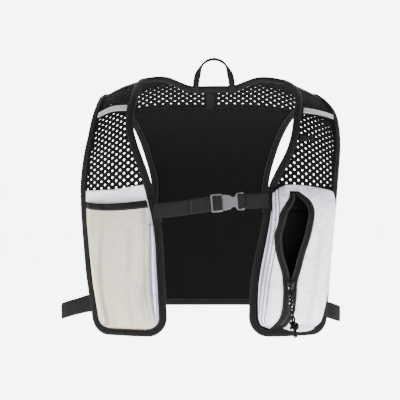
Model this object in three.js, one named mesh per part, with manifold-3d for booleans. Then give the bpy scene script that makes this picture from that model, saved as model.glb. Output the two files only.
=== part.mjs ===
import * as THREE from "three";
import { mergeVertices } from "three/addons/utils/BufferGeometryUtils.js";
import Module from "manifold-3d";

// A running hydration vest in its worn shape: two front panels of net and cloth that hang from the
// shoulders, a waisted back panel, a net pocket and a zipped pocket low on the chest, a buckled
// sternum strap, a strap at each side and a loop to hang it by. Millimetres. X runs to the right as
// seen from the front, Y to the back, Z up. The origin lies between the wearer's shoulders, level
// with the cloth that rests on them. Left and right are those of someone who looks at the front.
//
// Every piece is drawn flat in cloth measure and then laid on the body. "across" runs from the
// centre line to the armhole, "down" from the shoulder seam: more than 0 down the front, less than
// 0 down the back. "out" is the height above the cloth's inner face.

const wasm = await Module();
wasm.setup();

// Body that the vest is shaped to
const halfDepth = 109; // centre of the chest to the cloth on breast or back
const shoulderRise = 10; // shoulder seam above the origin
const frontDrop = 345; // origin to the front hem
const backDrop = 317; // origin to the back hem
const flatHalf = 55; // half width of the flat middle of chest and back
const bodyRadius = 176; // bend of the sides beyond the flat middle
const halfChest = 188; // centre line to the armhole edge, along the cloth

// Cloth, tapes and webbing
const clearance = 0.3; // between pieces that are sewn or seated face to face
const clothWall = 1.6; // spacer net and black cloth
const skinWall = 1; // pocket cloth
const tapeWall = 1.1; // flat tapes and reflective strips
const bindingWidth = 11;
const bindingTape = 1.2; // binding past the outermost cloth that it wraps
const webbingWidth = 20;
const webbingWall = 1.6;
const trimReach = 14; // how far cloth is drawn past the binding before it is trimmed

// Net
const netPitchAcross = 30;
const netPitchDown = 13.5;
const netHoleRadius = 6.2;
const netMargin = 3; // cloth left round the net's outer holes

// Shoulder cap, net and yoke
const capLength = 26; // shoulder seam to the top of the front net
const netBottom = 236; // shoulder seam to the bottom of the front net
const yokeLength = 76; // shoulder seam to the bottom of the yoke
const neckDepth = 37; // scoop of the back neck
const centreTapeWidth = 12;

// Bands across the chest net
const bandWidth = 13;
const stripWidth = 7;
const tubeTabLength = 22;
const tubeTabWidth = 9;

// Pockets
const pocketDepth = 22; // how far the pocket fronts stand off the panel
const gussetLean = 2.5; // how far a gusset leans away from the centre line
const pleatDepth = 3;
const netPocketTop = 223; // shoulder seam to the rim of the net pocket
const rimSag = 4;
const rimWidth = 10;
const rimWall = 2.4;
const sliderDown = 335; // shoulder seam to the zip's slider
const sliderLength = 12;
const sliderWidth = 9;
const sliderHeight = 3.6;

// Straps, buckle, hang loop and cord
const sternumDown = 227; // shoulder seam to the buckle
const anchorLength = 32;
const anchorWidth = 12;
const buckleLength = 44;
const buckleHeight = 24;
const buckleWall = 8;
const buckleShift = 21.5; // centre line to the buckle's middle
const buckleSlant = 0.08; // radians
const strapTailLength = 28;
const sideDown = 367; // shoulder seam to the left side tab
const sideSlip = 8; // the right side strap hangs lower by this much
const sideUp = 30; // side strap above the back hem
const sideReach = 205; // centre line to the bow of the side strap
const tabWidth = 22;
const loopSpan = 52; // middle to middle of the hang loop's feet
const loopTop = 40; // top of the hang loop above the origin
const loopShift = 5; // the loop sits to the right of the centre line
const loopWidth = 9;
const loopWall = 1.2;
const cordDiameter = 3;
const knotDiameter = 11;

// Levels above the cloth's inner face
const onCloth = clothWall + 2 * clearance;
const onBand = onCloth + tapeWall + 2 * clearance;
const bindingLow = -bindingTape;
const bindingHigh = onCloth + 2 * (skinWall + clearance);
const onBinding = bindingHigh + clearance;

// Reads a smooth curve off a table: the column's value where the key column equals at.
function readTable(rows, key, column, at) {
  const last = rows.length - 2;
  let i = 0;
  while (i < last && rows[i + 1][key] < at) i += 1;
  const slope = (j) => {
    const before = rows[Math.max(j - 1, 0)];
    const after = rows[Math.min(j + 1, rows.length - 1)];
    return (after[column] - before[column]) / (after[key] - before[key]);
  };
  const from = rows[i];
  const to = rows[i + 1];
  const length = to[key] - from[key];
  const t = THREE.MathUtils.clamp((at - from[key]) / length, 0, 1);
  const turn = t * t * (3 - 2 * t);
  return (
    from[column] * (1 - turn) +
    to[column] * turn +
    length * (t * (1 - t) * (1 - t) * slope(i) - t * t * (1 - t) * slope(i + 1))
  );
}

// Side view of the cloth from the back hem over the shoulder to the front hem. depth is a share of
// halfDepth, drop a share of backDrop or frontDrop.
const backProfile = [
  { depth: 0.9, drop: 1 },
  { depth: 0.954, drop: 0.8 },
  { depth: 0.98, drop: 0.573 },
  { depth: 0.954, drop: 0.318 },
  { depth: 0.75, drop: 0.121 },
  { depth: 0.41, drop: 0.004 },
];
const frontProfile = [
  { depth: -0.28, drop: 0.01 },
  { depth: -0.62, drop: 0.11 },
  { depth: -0.9, drop: 0.275 },
  { depth: -1, drop: 0.493 },
  { depth: -0.955, drop: 0.754 },
  { depth: -0.92, drop: 1 },
];
const seamDepth = 0.07;
const spine = [
  ...backProfile.map((row) => ({ y: row.depth * halfDepth, z: -row.drop * backDrop })),
  { y: seamDepth * halfDepth, z: shoulderRise },
  ...frontProfile.map((row) => ({ y: row.depth * halfDepth, z: -row.drop * frontDrop })),
];
spine.forEach((row, i) => {
  const before = spine[Math.max(i - 1, 0)];
  row.along = i ? before.along + Math.hypot(row.y - before.y, row.z - before.z) : 0;
});
const seamAlong = spine[backProfile.length].along;
spine.forEach((row) => {
  row.down = row.along - seamAlong;
});
const frontLength = spine[spine.length - 1].down;
const backLength = -spine[0].down;

// The place in space of a point of the cloth, which runs on straight past both hems.
function onBody(across, down, out = 0) {
  const step = 0.5;
  const at = THREE.MathUtils.clamp(down, step - backLength, frontLength - step);
  const along = new THREE.Vector2(
    readTable(spine, "down", "y", at + step) - readTable(spine, "down", "y", at - step),
    readTable(spine, "down", "z", at + step) - readTable(spine, "down", "z", at - step),
  ).normalize();
  const y = readTable(spine, "down", "y", at) + along.x * (down - at);
  const z = readTable(spine, "down", "z", at) + along.y * (down - at);
  const angle = Math.max(0, Math.abs(across) - flatHalf) / bodyRadius;
  const reach = Math.min(Math.abs(across), flatHalf) + (bodyRadius + out) * Math.sin(angle);
  const inward = bodyRadius - (bodyRadius + out) * Math.cos(angle);
  return new THREE.Vector3(Math.sign(across) * reach, y - along.y * inward, z + along.x * inward);
}

// Solids

// Closes a list of triangles into a geometry whose faces point out.
function closedGeometry(corners) {
  let volume = 0;
  for (let i = 0; i < corners.length; i += 3) {
    volume += corners[i].dot(new THREE.Vector3().crossVectors(corners[i + 1], corners[i + 2]));
  }
  const facing = volume < 0 ? corners.map((_, i) => corners[i - (i % 3) + 2 - (i % 3)]) : corners;
  const raw = new THREE.BufferGeometry().setFromPoints(facing);
  return mergeVertices(raw, 1e-3);
}

// A sheet with a wall: at(u, v, side) gives its two faces, for side 0 and 1 and u and v from 0 to 1.
function sheet(columns, rows, at) {
  const grid = [0, 1].map((side) =>
    Array.from({ length: columns + 1 }, (_, i) =>
      Array.from({ length: rows + 1 }, (_, j) => at(i / columns, j / rows, side)),
    ),
  );
  const corners = [];
  const quad = (a, b, c, d) => corners.push(a, b, c, a, c, d);
  for (let i = 0; i < columns; i += 1) {
    for (let j = 0; j < rows; j += 1) {
      const [f, g] = grid;
      quad(f[i][j], f[i + 1][j], f[i + 1][j + 1], f[i][j + 1]);
      quad(g[i][j], g[i][j + 1], g[i + 1][j + 1], g[i + 1][j]);
    }
  }
  for (let i = 0; i < columns; i += 1) {
    const [f, g] = grid;
    quad(f[i][0], g[i][0], g[i + 1][0], f[i + 1][0]);
    quad(f[i][rows], f[i + 1][rows], g[i + 1][rows], g[i][rows]);
  }
  for (let j = 0; j < rows; j += 1) {
    const [f, g] = grid;
    quad(f[0][j], f[0][j + 1], g[0][j + 1], g[0][j]);
    quad(f[columns][j], g[columns][j], g[columns][j + 1], f[columns][j + 1]);
  }
  return closedGeometry(corners);
}

// A sheet of even wall about a middle surface at(u, v).
function walledSheet(columns, rows, wall, at) {
  const small = 1e-3;
  return sheet(columns, rows, (u, v, side) => {
    const alongU = at(Math.min(u + small, 1), v).sub(at(Math.max(u - small, 0), v));
    const alongV = at(u, Math.min(v + small, 1)).sub(at(u, Math.max(v - small, 0)));
    const normal = alongU.cross(alongV).normalize();
    return at(u, v).addScaledVector(normal, (side - 0.5) * wall);
  });
}

// A bar lofted through rings that all have the same number of points, closed at both ends.
function loft(rings) {
  const corners = [];
  const count = rings[0].length;
  for (let i = 0; i < rings.length - 1; i += 1) {
    for (let k = 0; k < count; k += 1) {
      const next = (k + 1) % count;
      const [a, b] = [rings[i][k], rings[i][next]];
      const [c, d] = [rings[i + 1][next], rings[i + 1][k]];
      corners.push(a, b, c, a, c, d);
    }
  }
  const [first, last] = [rings[0], rings[rings.length - 1]];
  for (let k = 1; k < count - 1; k += 1) {
    corners.push(first[0], first[k + 1], first[k]);
    corners.push(last[0], last[k], last[k + 1]);
  }
  return closedGeometry(corners);
}

// A copy that keeps nothing but its corners, shared between its faces.
function bareGeometry(geometry) {
  const bare = new THREE.BufferGeometry();
  bare.setAttribute("position", geometry.getAttribute("position"));
  bare.setIndex(geometry.index);
  return mergeVertices(bare, 1e-3);
}

function toSolid(geometry) {
  const merged = bareGeometry(geometry);
  return new wasm.Manifold(
    new wasm.Mesh({
      numProp: 3,
      vertProperties: merged.attributes.position.array,
      triVerts: new Uint32Array(merged.index.array),
    }),
  );
}

function toGeometry(solid) {
  const mesh = solid.getMesh();
  const geometry = new THREE.BufferGeometry();
  geometry.setAttribute("position", new THREE.BufferAttribute(mesh.vertProperties, 3));
  geometry.setIndex(new THREE.BufferAttribute(mesh.triVerts, 1));
  return geometry;
}

function cut(geometry, tools) {
  return toGeometry(tools.reduce((solid, tool) => solid.subtract(toSolid(tool)), toSolid(geometry)));
}

function join(parts) {
  return toGeometry(parts.map(toSolid).reduce((whole, part) => whole.add(part)));
}

// Front panels. across is a share of halfChest, down a share of the front cloth's length.
const fronts = {
  left: {
    sign: -1,
    strapEnd: { down: 0.584, inside: 6 },
    bow: [
      { x: 0.93, y: -0.32, drop: 0.9 },
      { x: 1.02, y: 0, drop: 0.922 },
      { x: 0.9, y: 0.5, drop: 0.9 },
      { x: 0.68, y: 0.86, drop: 0.87 },
    ],
    band: [
      { at: 0, down: 0.205 },
      { at: 0.5, down: 0.188 },
      { at: 1, down: 0.19 },
    ],
    innerCorner: 27,
    outerCorner: 21,
    inner: [
      { down: 0, across: 0.468 },
      { down: 0.09, across: 0.511 },
      { down: 0.26, across: 0.563 },
      { down: 0.34, across: 0.537 },
      { down: 0.49, across: 0.428 },
      { down: 0.63, across: 0.354 },
      { down: 0.78, across: 0.33 },
      { down: 1, across: 0.308 },
    ],
    outer: [
      { down: 0, across: 0.85 },
      { down: 0.14, across: 0.894 },
      { down: 0.36, across: 0.973 },
      { down: 0.5, across: 1 },
      { down: 0.73, across: 0.968 },
      { down: 1, across: 0.867 },
    ],
  },
  right: {
    sign: 1,
    strapEnd: { down: 0.552, inside: 4 },
    bow: [
      { x: 0.84, y: -0.41, drop: 0.895 },
      { x: 0.875, y: -0.14, drop: 0.905 },
      { x: 0.83, y: 0.46, drop: 0.9 },
      { x: 0.68, y: 0.84, drop: 0.87 },
    ],
    band: [
      { at: 0, down: 0.205 },
      { at: 0.4, down: 0.189 },
      { at: 1, down: 0.163 },
    ],
    innerCorner: 28,
    outerCorner: 21,
    inner: [
      { down: 0, across: 0.513 },
      { down: 0.1, across: 0.616 },
      { down: 0.25, across: 0.598 },
      { down: 0.37, across: 0.545 },
      { down: 0.51, across: 0.403 },
      { down: 0.62, across: 0.36 },
      { down: 0.81, across: 0.282 },
      { down: 1, across: 0.262 },
    ],
    outer: [
      { down: 0, across: 0.88 },
      { down: 0.09, across: 0.97 },
      { down: 0.24, across: 1.01 },
      { down: 0.45, across: 0.975 },
      { down: 0.73, across: 0.905 },
      { down: 1, across: 0.85 },
    ],
  },
};

// Back. up is a share of the back cloth's length, across of halfChest.
const backCorner = 24;
const backSide = [
  { up: 0, across: 0.865 },
  { up: 0.13, across: 0.775 },
  { up: 0.24, across: 0.65 },
  { up: 0.32, across: 0.575 },
  { up: 0.4, across: 0.52 },
  { up: 0.5, across: 0.468 },
  { up: 0.58, across: 0.462 },
  { up: 0.7, across: 0.5 },
  { up: 0.84, across: 0.575 },
  { up: 1, across: 0.61 },
];

// Back neck. across is a share of the neck's half width, depth of neckDepth.
const neckScoop = [
  { across: 0, depth: 1 },
  { across: 0.34, depth: 0.97 },
  { across: 0.5, depth: 0.7 },
  { across: 0.7, depth: 0.28 },
  { across: 0.88, depth: 0.08 },
  { across: 1, depth: 0 },
];

// Tube tab: at runs from the inner binding outwards, down is a share of the front's length.
const tubeTabPath = [
  { at: 0, down: 0.328 },
  { at: 1, down: 0.315 },
];

// Upper edge of the white cloth behind the net pocket, across and down as for the front panels.
const patchEdge = [
  { across: 0.3, down: 0.495 },
  { across: 0.45, down: 0.498 },
  { across: 0.7, down: 0.512 },
  { across: 1, down: 0.51 },
];

// Upper edge of the zipped pocket from gusset to armhole.
const zipPocketTop = [
  { at: 0, down: 0.53 },
  { at: 0.08, down: 0.512 },
  { at: 0.2, down: 0.5 },
  { at: 0.5, down: 0.502 },
  { at: 1, down: 0.522 },
];

// Zip: edges of its two tapes, open above the slider and closed below it.
const zipLine = [
  { down: 0.522, left: 0.54, openLeft: 0.5625, openRight: 0.5655, right: 0.6 },
  { down: 0.542, left: 0.53, openLeft: 0.562, openRight: 0.598, right: 0.65 },
  { down: 0.562, left: 0.5, openLeft: 0.543, openRight: 0.633, right: 0.678 },
  { down: 0.59, left: 0.463, openLeft: 0.508, openRight: 0.645, right: 0.688 },
  { down: 0.625, left: 0.445, openLeft: 0.487, openRight: 0.633, right: 0.677 },
  { down: 0.665, left: 0.425, openLeft: 0.467, openRight: 0.612, right: 0.656 },
  { down: 0.72, left: 0.435, openLeft: 0.477, openRight: 0.575, right: 0.62 },
  { down: 0.78, left: 0.468, openLeft: 0.51, openRight: 0.545, right: 0.588 },
  { down: 0.82, left: 0.478, openLeft: 0.5215, openRight: 0.5245, right: 0.568 },
  { down: 0.875, left: 0.476, openLeft: 0.5135, openRight: 0.5165, right: 0.554 },
  { down: 0.915, left: 0.461, openLeft: 0.4965, openRight: 0.4995, right: 0.535 },
  { down: 0.945, left: 0.44, openLeft: 0.4745, openRight: 0.4775, right: 0.512 },
  { down: 0.96, left: 0.425, openLeft: 0.4575, openRight: 0.4605, right: 0.494 },
];

// Gussets: folds between the panel and the pocket's front, as shares of pleatDepth, and how far
// their ends stay from the ends of the pocket, as shares of pocketDepth.
const pleats = [
  { at: 0, out: 0 },
  { at: 0.18, out: 0 },
  { at: 0.36, out: 1 },
  { at: 0.6, out: 0.15 },
  { at: 0.82, out: 0.9 },
  { at: 1, out: 0 },
];
const anchorStart = -3; // anchor tape, from the inner edge into the panel
const strapStop = buckleLength / 2 + 3 * clearance; // end of a sternum strap, from the buckle's middle
const barWidth = 3.2;
const slotLength = 5;
const slotRim = 1.5; // socket ahead of its strap slot
const mouthShare = 0.36;
// Heights of the socket as shares of half its height, and how far its neck runs past the mouth
const mouthHeight = 0.86;
const neckHeight = 0.8;
const waistShare = 0.42;
const rearHeight = 0.92;
const prongHeight = 0.62;
const neckStart = 7;
const neckEnd = 12;
const waistAt = 16;
const prongLength = 17;
const cavityWall = 4;
const tabShare = 0.34; // how much of the side strap's way the tab takes
const loopSteps = 24;
const sliderTaper = 0.3;

// Hang loop above the neck: x as a share of half its span, rise of its height.
const loopWay = [
  { x: 0.98, rise: 0.3 },
  { x: 0.86, rise: 0.65 },
  { x: 0.6, rise: 0.9 },
];
const gussetStart = 1;
const gussetEnd = 0.55;
const rimEnd = 0.01;
const zipSteps = 22;
const zipGap = 0.7; // between the zip's tapes and the white cloth

// How far a rounded corner of the hem pulls an edge in.
function cornerPull(down, radius) {
  const into = THREE.MathUtils.clamp(down - (frontLength - radius), 0, radius);
  return radius - Math.sqrt(radius * radius - into * into);
}

function innerEdge(front, down) {
  const edge = readTable(front.inner, "down", "across", down / frontLength) * halfChest;
  return edge + cornerPull(down, front.innerCorner);
}

function outerEdge(front, down) {
  const edge = readTable(front.outer, "down", "across", down / frontLength) * halfChest;
  return edge - cornerPull(down, front.outerCorner);
}

// The front panel's outline, from the neck point down the inner edge, round the hem and up the
// armhole edge to the shoulder point.
const straightSteps = 18;
const cornerSteps = 5;
const hemSteps = 3;
function frontOutline(front) {
  const trace = (edge, radius) => {
    const points = [];
    for (let i = 0; i < straightSteps; i += 1) {
      const down = (i / straightSteps) * (frontLength - radius);
      points.push(new THREE.Vector2(edge(front, down), down));
    }
    for (let i = 0; i <= cornerSteps; i += 1) {
      const down = frontLength - radius * (1 - Math.sin(((i / cornerSteps) * Math.PI) / 2));
      points.push(new THREE.Vector2(edge(front, down), down));
    }
    return points;
  };
  const inner = trace(innerEdge, front.innerCorner);
  const outer = trace(outerEdge, front.outerCorner);
  const [from, to] = [inner[inner.length - 1], outer[outer.length - 1]];
  const hem = [];
  for (let i = 1; i < hemSteps; i += 1) hem.push(from.clone().lerp(to, i / hemSteps));
  return [...inner, ...hem, ...outer.reverse()];
}

// Moves an outline into the cloth by distance, and keeps its ends on the shoulder seam.
function offset(outline, distance) {
  return outline.map((point, i) => {
    const before = outline[Math.max(i - 1, 0)];
    const after = outline[Math.min(i + 1, outline.length - 1)];
    const along = after.clone().sub(before).normalize();
    const side = new THREE.Vector2(along.y, -along.x);
    if (i === 0 || i === outline.length - 1) side.set(Math.sign(side.x), 0);
    return point.clone().addScaledVector(side, distance);
  });
}

// Least and greatest across of an outline at one down.
function span(outline, down) {
  const found = [];
  for (let i = 0; i < outline.length - 1; i += 1) {
    const [a, b] = [outline[i], outline[i + 1]];
    if ((a.y - down) * (b.y - down) <= 0 && a.y !== b.y) {
      found.push(a.x + ((b.x - a.x) * (down - a.y)) / (b.y - a.y));
    }
  }
  return [Math.min(...found), Math.max(...found)];
}

// A bar that follows an outline. profile holds how far each corner lies inside the outline, and out.
function edging(outline, sign, profile) {
  const lines = profile.map((row) => offset(outline, row.inside));
  return loft(
    outline.map((_, i) =>
      profile.map((row, k) => onBody(sign * lines[k][i].x, lines[k][i].y, row.out)),
    ),
  );
}

const bindingNose = 1.5;
const bindingProfile = [
  { inside: bindingNose, out: bindingLow },
  { inside: 0, out: (bindingLow + bindingHigh) / 2 },
  { inside: bindingNose, out: bindingHigh },
  { inside: bindingWidth, out: bindingHigh },
  { inside: bindingWidth, out: bindingLow },
];

// What is cut off cloth that is drawn past its binding.
const trimProfile = [
  { inside: -trimReach, out: -trimReach },
  { inside: -trimReach, out: trimReach },
  { inside: bindingWidth + 3 * clearance, out: trimReach },
  { inside: bindingWidth + 3 * clearance, out: -trimReach },
];

// Six-sided tools that pierce cloth in a staggered lattice wherever keep(across, down) allows.
function netTools(sign, firstAcross, lastAcross, firstDown, lastDown, keep) {
  const tools = [];
  const rows = Math.floor((lastDown - firstDown) / netPitchDown);
  const columns = Math.ceil((lastAcross - firstAcross) / netPitchAcross);
  for (let row = 0; row <= rows; row += 1) {
    for (let column = 0; column <= columns; column += 1) {
      const across = firstAcross + (column + (row % 2) / 2) * netPitchAcross;
      const down = firstDown + row * netPitchDown;
      if (!keep(across, down)) continue;
      const ring = (out) =>
        Array.from({ length: 6 }, (_, k) => {
          const turn = (k * Math.PI) / 3;
          return onBody(
            sign * (across + netHoleRadius * Math.cos(turn)),
            down + netHoleRadius * Math.sin(turn),
            out,
          );
        });
      tools.push(loft([ring(-clothWall), ring(2 * clothWall)]));
    }
  }
  return tools;
}

const vest = new THREE.Group();

// Colours and finishes
const finishes = {
  binding: new THREE.MeshStandardMaterial({ color: 0x262626, roughness: 0.8 }),
  net: new THREE.MeshStandardMaterial({ color: 0x1c1c1d, roughness: 0.85 }),
  cloth: new THREE.MeshStandardMaterial({ color: 0x151516, roughness: 0.8 }),
  webbing: new THREE.MeshStandardMaterial({ color: 0x2b2b2b, roughness: 0.75 }),
  reflective: new THREE.MeshStandardMaterial({ color: 0x969696, roughness: 0.4 }),
  white: new THREE.MeshStandardMaterial({ color: 0xdedee2, roughness: 0.7 }),
  whiteNet: new THREE.MeshStandardMaterial({ color: 0xe4e3da, roughness: 0.8 }),
  plastic: new THREE.MeshStandardMaterial({ color: 0x55565a, roughness: 0.35 }),
  metal: new THREE.MeshStandardMaterial({ color: 0x202022, roughness: 0.4, metalness: 0.6 }),
  cord: new THREE.MeshStandardMaterial({ color: 0x1b1b1c, roughness: 0.8 }),
};

function place(name, geometry, finish, parent = vest) {
  const mesh = new THREE.Mesh(geometry, finishes[finish]);
  mesh.name = name;
  parent.add(mesh);
  return mesh;
}

// Front panels: binding, shoulder cap, chest net and the plain cloth behind the pocket
for (const [side, front] of Object.entries(fronts)) {
  const { sign } = front;
  front.outline = frontOutline(front);
  front.within = offset(front.outline, bindingWidth + clearance);
  front.seamLine = offset(front.outline, bindingWidth + 2 * clearance);
  const { outline, within } = front;
  const trim = edging(outline, sign, trimProfile);
  const cloth = (from, to, columns, rows, low, high, tools = []) => {
    const drawn = sheet(columns, rows, (u, v, face) => {
      const share = THREE.MathUtils.lerp(innerEdge(front, to), outerEdge(front, to), u);
      const start = typeof from === "function" ? from(share) : from;
      const down = THREE.MathUtils.lerp(start, to, v);
      const across = THREE.MathUtils.lerp(innerEdge(front, down), outerEdge(front, down), u);
      return onBody(sign * across, down, face ? high : low);
    });
    return cut(drawn, [trim, ...tools]);
  };
  front.cloth = cloth;
  place(`front_binding_${side}`, edging(outline, sign, bindingProfile), "binding");
  place(`shoulder_cap_${side}`, cloth(clearance, capLength - clearance, 8, 3, 0, clothWall), "cloth");
  const room = netHoleRadius + netMargin;
  const holes = netTools(
    sign,
    0,
    halfChest * 1.1,
    capLength + room,
    netBottom - room,
    (across, down) => {
      const [a, b] = span(within, down);
      return across > a + room && across < b - room;
    },
  );
  place(`chest_net_${side}`, cloth(capLength, netBottom, 5, 12, 0, clothWall, holes), "net");
  const lining = cloth(netBottom + clearance, frontLength, 4, 6, 0, clothWall);
  place(`front_lining_${side}`, lining, "cloth");

  // Black band with a reflective strip across the net
  const across = (path, width, low, high) =>
    sheet(8, 1, (u, v, face) => {
      const middle = readTable(path, "at", "down", u) * frontLength;
      const down = middle + (v - 0.5) * width;
      const [a, b] = span(front.seamLine, down);
      return onBody(sign * THREE.MathUtils.lerp(a, b, u), down, face ? high : low);
    });
  place(`reflective_band_${side}`, across(front.band, bandWidth, onCloth, onCloth + tapeWall), "cloth");
  const strip = across(front.band, stripWidth, onBand, onBand + tapeWall);
  place(`reflective_strip_${side}`, strip, "reflective");
}

// Tab that holds a drinking tube, on the right
const tubeTab = sheet(4, 1, (u, v, face) => {
  const front = fronts.right;
  const down = readTable(tubeTabPath, "at", "down", u) * frontLength + (v - 0.5) * tubeTabWidth;
  const across = span(front.seamLine, down)[0] + u * tubeTabLength;
  return onBody(front.sign * across, down, onCloth + (face ? webbingWall : 0));
});
place("tube_tab", tubeTab, "webbing");

// Back: neck scoop, yoke net, plain panel and the tape round its armholes and hem
const backEdge = (down) => readTable(backSide, "up", "across", -down / backLength) * halfChest;
const neckHalf = (sign) => innerEdge(sign < 0 ? fronts.left : fronts.right, 0);
const neckSteps = 10;
const neckOutline = [];
for (let i = -neckSteps; i <= neckSteps; i += 1) {
  const share = Math.sin(((i / neckSteps) * Math.PI) / 2);
  const depth = readTable(neckScoop, "across", "depth", Math.abs(share));
  neckOutline.push(new THREE.Vector2(share * neckHalf(i), -neckDepth * depth));
}
const backSteps = 14;
const backOutline = [];
for (let i = 0; i < backSteps; i += 1) {
  const down = -(i / backSteps) * (backLength - backCorner);
  backOutline.push(new THREE.Vector2(backEdge(down), down));
}
for (let i = 0; i <= cornerSteps; i += 1) {
  const turn = ((i / cornerSteps) * Math.PI) / 2;
  const down = -backLength + backCorner * (1 - Math.sin(turn));
  backOutline.push(new THREE.Vector2(backEdge(down) - backCorner * (1 - Math.cos(turn)), down));
}
const backHalf = backOutline.map((point) => point.clone());
backHalf.reverse().forEach((point) => backOutline.push(new THREE.Vector2(-point.x, point.y)));
place("neck_binding", edging(neckOutline, 1, bindingProfile), "binding");
place("back_binding", edging(backOutline, 1, bindingProfile), "binding");
const backTrims = [edging(neckOutline, 1, trimProfile), edging(backOutline, 1, trimProfile)];

const neckDown = (across) => {
  const share = Math.abs(across) / neckHalf(across);
  return share < 1 ? -neckDepth * readTable(neckScoop, "across", "depth", share) : -clearance;
};
const yokeDrawn = sheet(16, 4, (u, v, face) => {
  const top = neckDown(THREE.MathUtils.lerp(-1, 1, u) * backEdge(0));
  const down = THREE.MathUtils.lerp(top, -yokeLength, v);
  return onBody(THREE.MathUtils.lerp(-1, 1, u) * backEdge(down), down, face ? clothWall : 0);
});
const neckWithin = offset(neckOutline, bindingWidth + clearance);
const backWithin = offset(backOutline, bindingWidth + clearance);
const yokeRoom = netHoleRadius + netMargin;
const yokeHoles = netTools(
  1,
  -netPitchAcross * 5.25,
  netPitchAcross * 5.25,
  yokeRoom - yokeLength,
  -yokeRoom,
  (across, down) => {
    const side = Math.abs(across);
    const besideTape = side > centreTapeWidth / 2 + yokeRoom;
    const inArmhole = side < span(backWithin, down)[1] - yokeRoom;
    const clearOfNeck = neckWithin.every((point) => point.distanceTo({ x: across, y: down }) > yokeRoom);
    const below = down < neckDown(across) - bindingWidth - yokeRoom;
    return besideTape && inArmhole && clearOfNeck && (below || side > neckHalf(across) + yokeRoom);
  },
);
place("back_yoke", cut(yokeDrawn, [...backTrims, ...yokeHoles]), "net");
const backDrawn = sheet(8, 11, (u, v, face) => {
  const down = THREE.MathUtils.lerp(-yokeLength - clearance, -backLength, v);
  return onBody(THREE.MathUtils.lerp(-1, 1, u) * backEdge(down), down, face ? clothWall : 0);
});
place("back_panel", cut(backDrawn, [backTrims[1]]), "cloth");

// Pockets. A pocket's front is a sheet over the panel: "rise" is its height down the pocket and
// "section" its cross-section from the gusset to the armhole, both as shares of pocketDepth.
const pockets = {
  left: {
    base: onCloth + skinWall + clearance + skinWall / 2,
    top: (u) => netPocketTop + rimWidth + rimSag * Math.sin(Math.PI * u),
    rise: [
      { at: 0, height: 0.62 },
      { at: 0.12, height: 0.85 },
      { at: 0.35, height: 1 },
      { at: 0.75, height: 0.93 },
      { at: 0.92, height: 0.5 },
      { at: 1, height: 0 },
    ],
    section: [
      { at: 0, across: 0, height: 1 },
      { at: 0.2, across: 0.2, height: 1.02 },
      { at: 0.5, across: 0.52, height: 0.88 },
      { at: 0.8, across: 0.85, height: 0.5 },
      { at: 1, across: 0.99, height: 0 },
    ],
  },
  right: {
    base: onCloth + skinWall / 2,
    top: (u) => readTable(zipPocketTop, "at", "down", u) * frontLength,
    rise: [
      { at: 0, height: 0 },
      { at: 0.06, height: 0.5 },
      { at: 0.16, height: 0.9 },
      { at: 0.35, height: 1 },
      { at: 0.7, height: 0.97 },
      { at: 0.88, height: 0.6 },
      { at: 1, height: 0 },
    ],
    section: [
      { at: 0, across: 0, height: 1 },
      { at: 0.3, across: 0.35, height: 1.03 },
      { at: 0.6, across: 0.76, height: 0.95 },
      { at: 0.8, across: 0.97, height: 0.68 },
      { at: 0.92, across: 1.02, height: 0.38 },
      { at: 0.97, across: 0.99, height: 0.2 },
      { at: 1, across: 0.985, height: 0 },
    ],
  },
};

const seamInside = bindingWidth + 2 * clearance;
const pocketFoot = frontLength - seamInside;

// Where a pocket's front starts and ends across the panel, and how high it stands, at one down.
function pocketRow(front, pocket, down) {
  const [a, b] = span(front.seamLine, down);
  const share = (down - pocket.top(0.5)) / (pocketFoot - pocket.top(0.5));
  const lift = readTable(pocket.rise, "at", "height", share);
  return { a, from: a + gussetLean * lift, to: b, lift };
}

// A point of a pocket's front, found by how far across the panel it lies.
function onPocket(front, pocket, across, down, proud = 0) {
  const { from, to, lift } = pocketRow(front, pocket, down);
  const height = readTable(pocket.section, "across", "height", (across - from) / (to - from));
  return onBody(front.sign * across, down, pocket.base + pocketDepth * lift * height + proud);
}

// A point of a pocket's front, found by its share of the way round the cross-section.
function roundPocket(front, pocket, u, down) {
  const { from, to, lift } = pocketRow(front, pocket, down);
  const share = readTable(pocket.section, "at", "across", u);
  const swell = Math.max(share - 1, 0) * (1 - lift * lift);
  const across = THREE.MathUtils.lerp(from, to, share - swell);
  const height = readTable(pocket.section, "at", "height", u);
  return onBody(front.sign * across, down, pocket.base + pocketDepth * lift * height);
}

for (const [side, pocket] of Object.entries(pockets)) {
  const front = fronts[side];
  const { sign } = front;
  pocket.skin = walledSheet(9, 12, skinWall, (u, v) => {
    const down = THREE.MathUtils.lerp(pocket.top(u), pocketFoot, Math.sin((v * Math.PI) / 2));
    return roundPocket(front, pocket, u, down);
  });
  const start = pocket.top(0) + gussetStart * pocketDepth;
  const gusset = walledSheet(7, 8, skinWall, (u, v) => {
    const down = THREE.MathUtils.lerp(start, pocketFoot - gussetEnd * pocketDepth, v);
    const { a, from, lift } = pocketRow(front, pocket, down);
    const top = pocketDepth * lift - skinWall / 2 - 4 * clearance;
    const fold = pleatDepth * lift * lift * readTable(pleats, "at", "out", u);
    const across = THREE.MathUtils.lerp(a + skinWall, from + skinWall, u) - fold;
    return onBody(sign * across, down, pocket.base + top * u);
  });
  place(`pocket_gusset_${side}`, gusset, "white");
}

// White cloth behind the net pocket, the net pocket and the tape round its rim
const patch = fronts.left.cloth(
  (across) => readTable(patchEdge, "across", "down", across / halfChest) * frontLength,
  frontLength,
  5,
  8,
  onCloth,
  onCloth + skinWall,
);
place("white_patch", patch, "white");
place("net_pocket", pockets.left.skin, "whiteNet");
const rim = walledSheet(9, 2, rimWall, (u, v) => {
  const down = pockets.left.top(u) - clearance - rimWidth * (1 - v);
  return roundPocket(fronts.left, pockets.left, THREE.MathUtils.lerp(rimEnd, 1 - rimEnd, u), down);
});
place("pocket_rim", rim, "binding");

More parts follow.
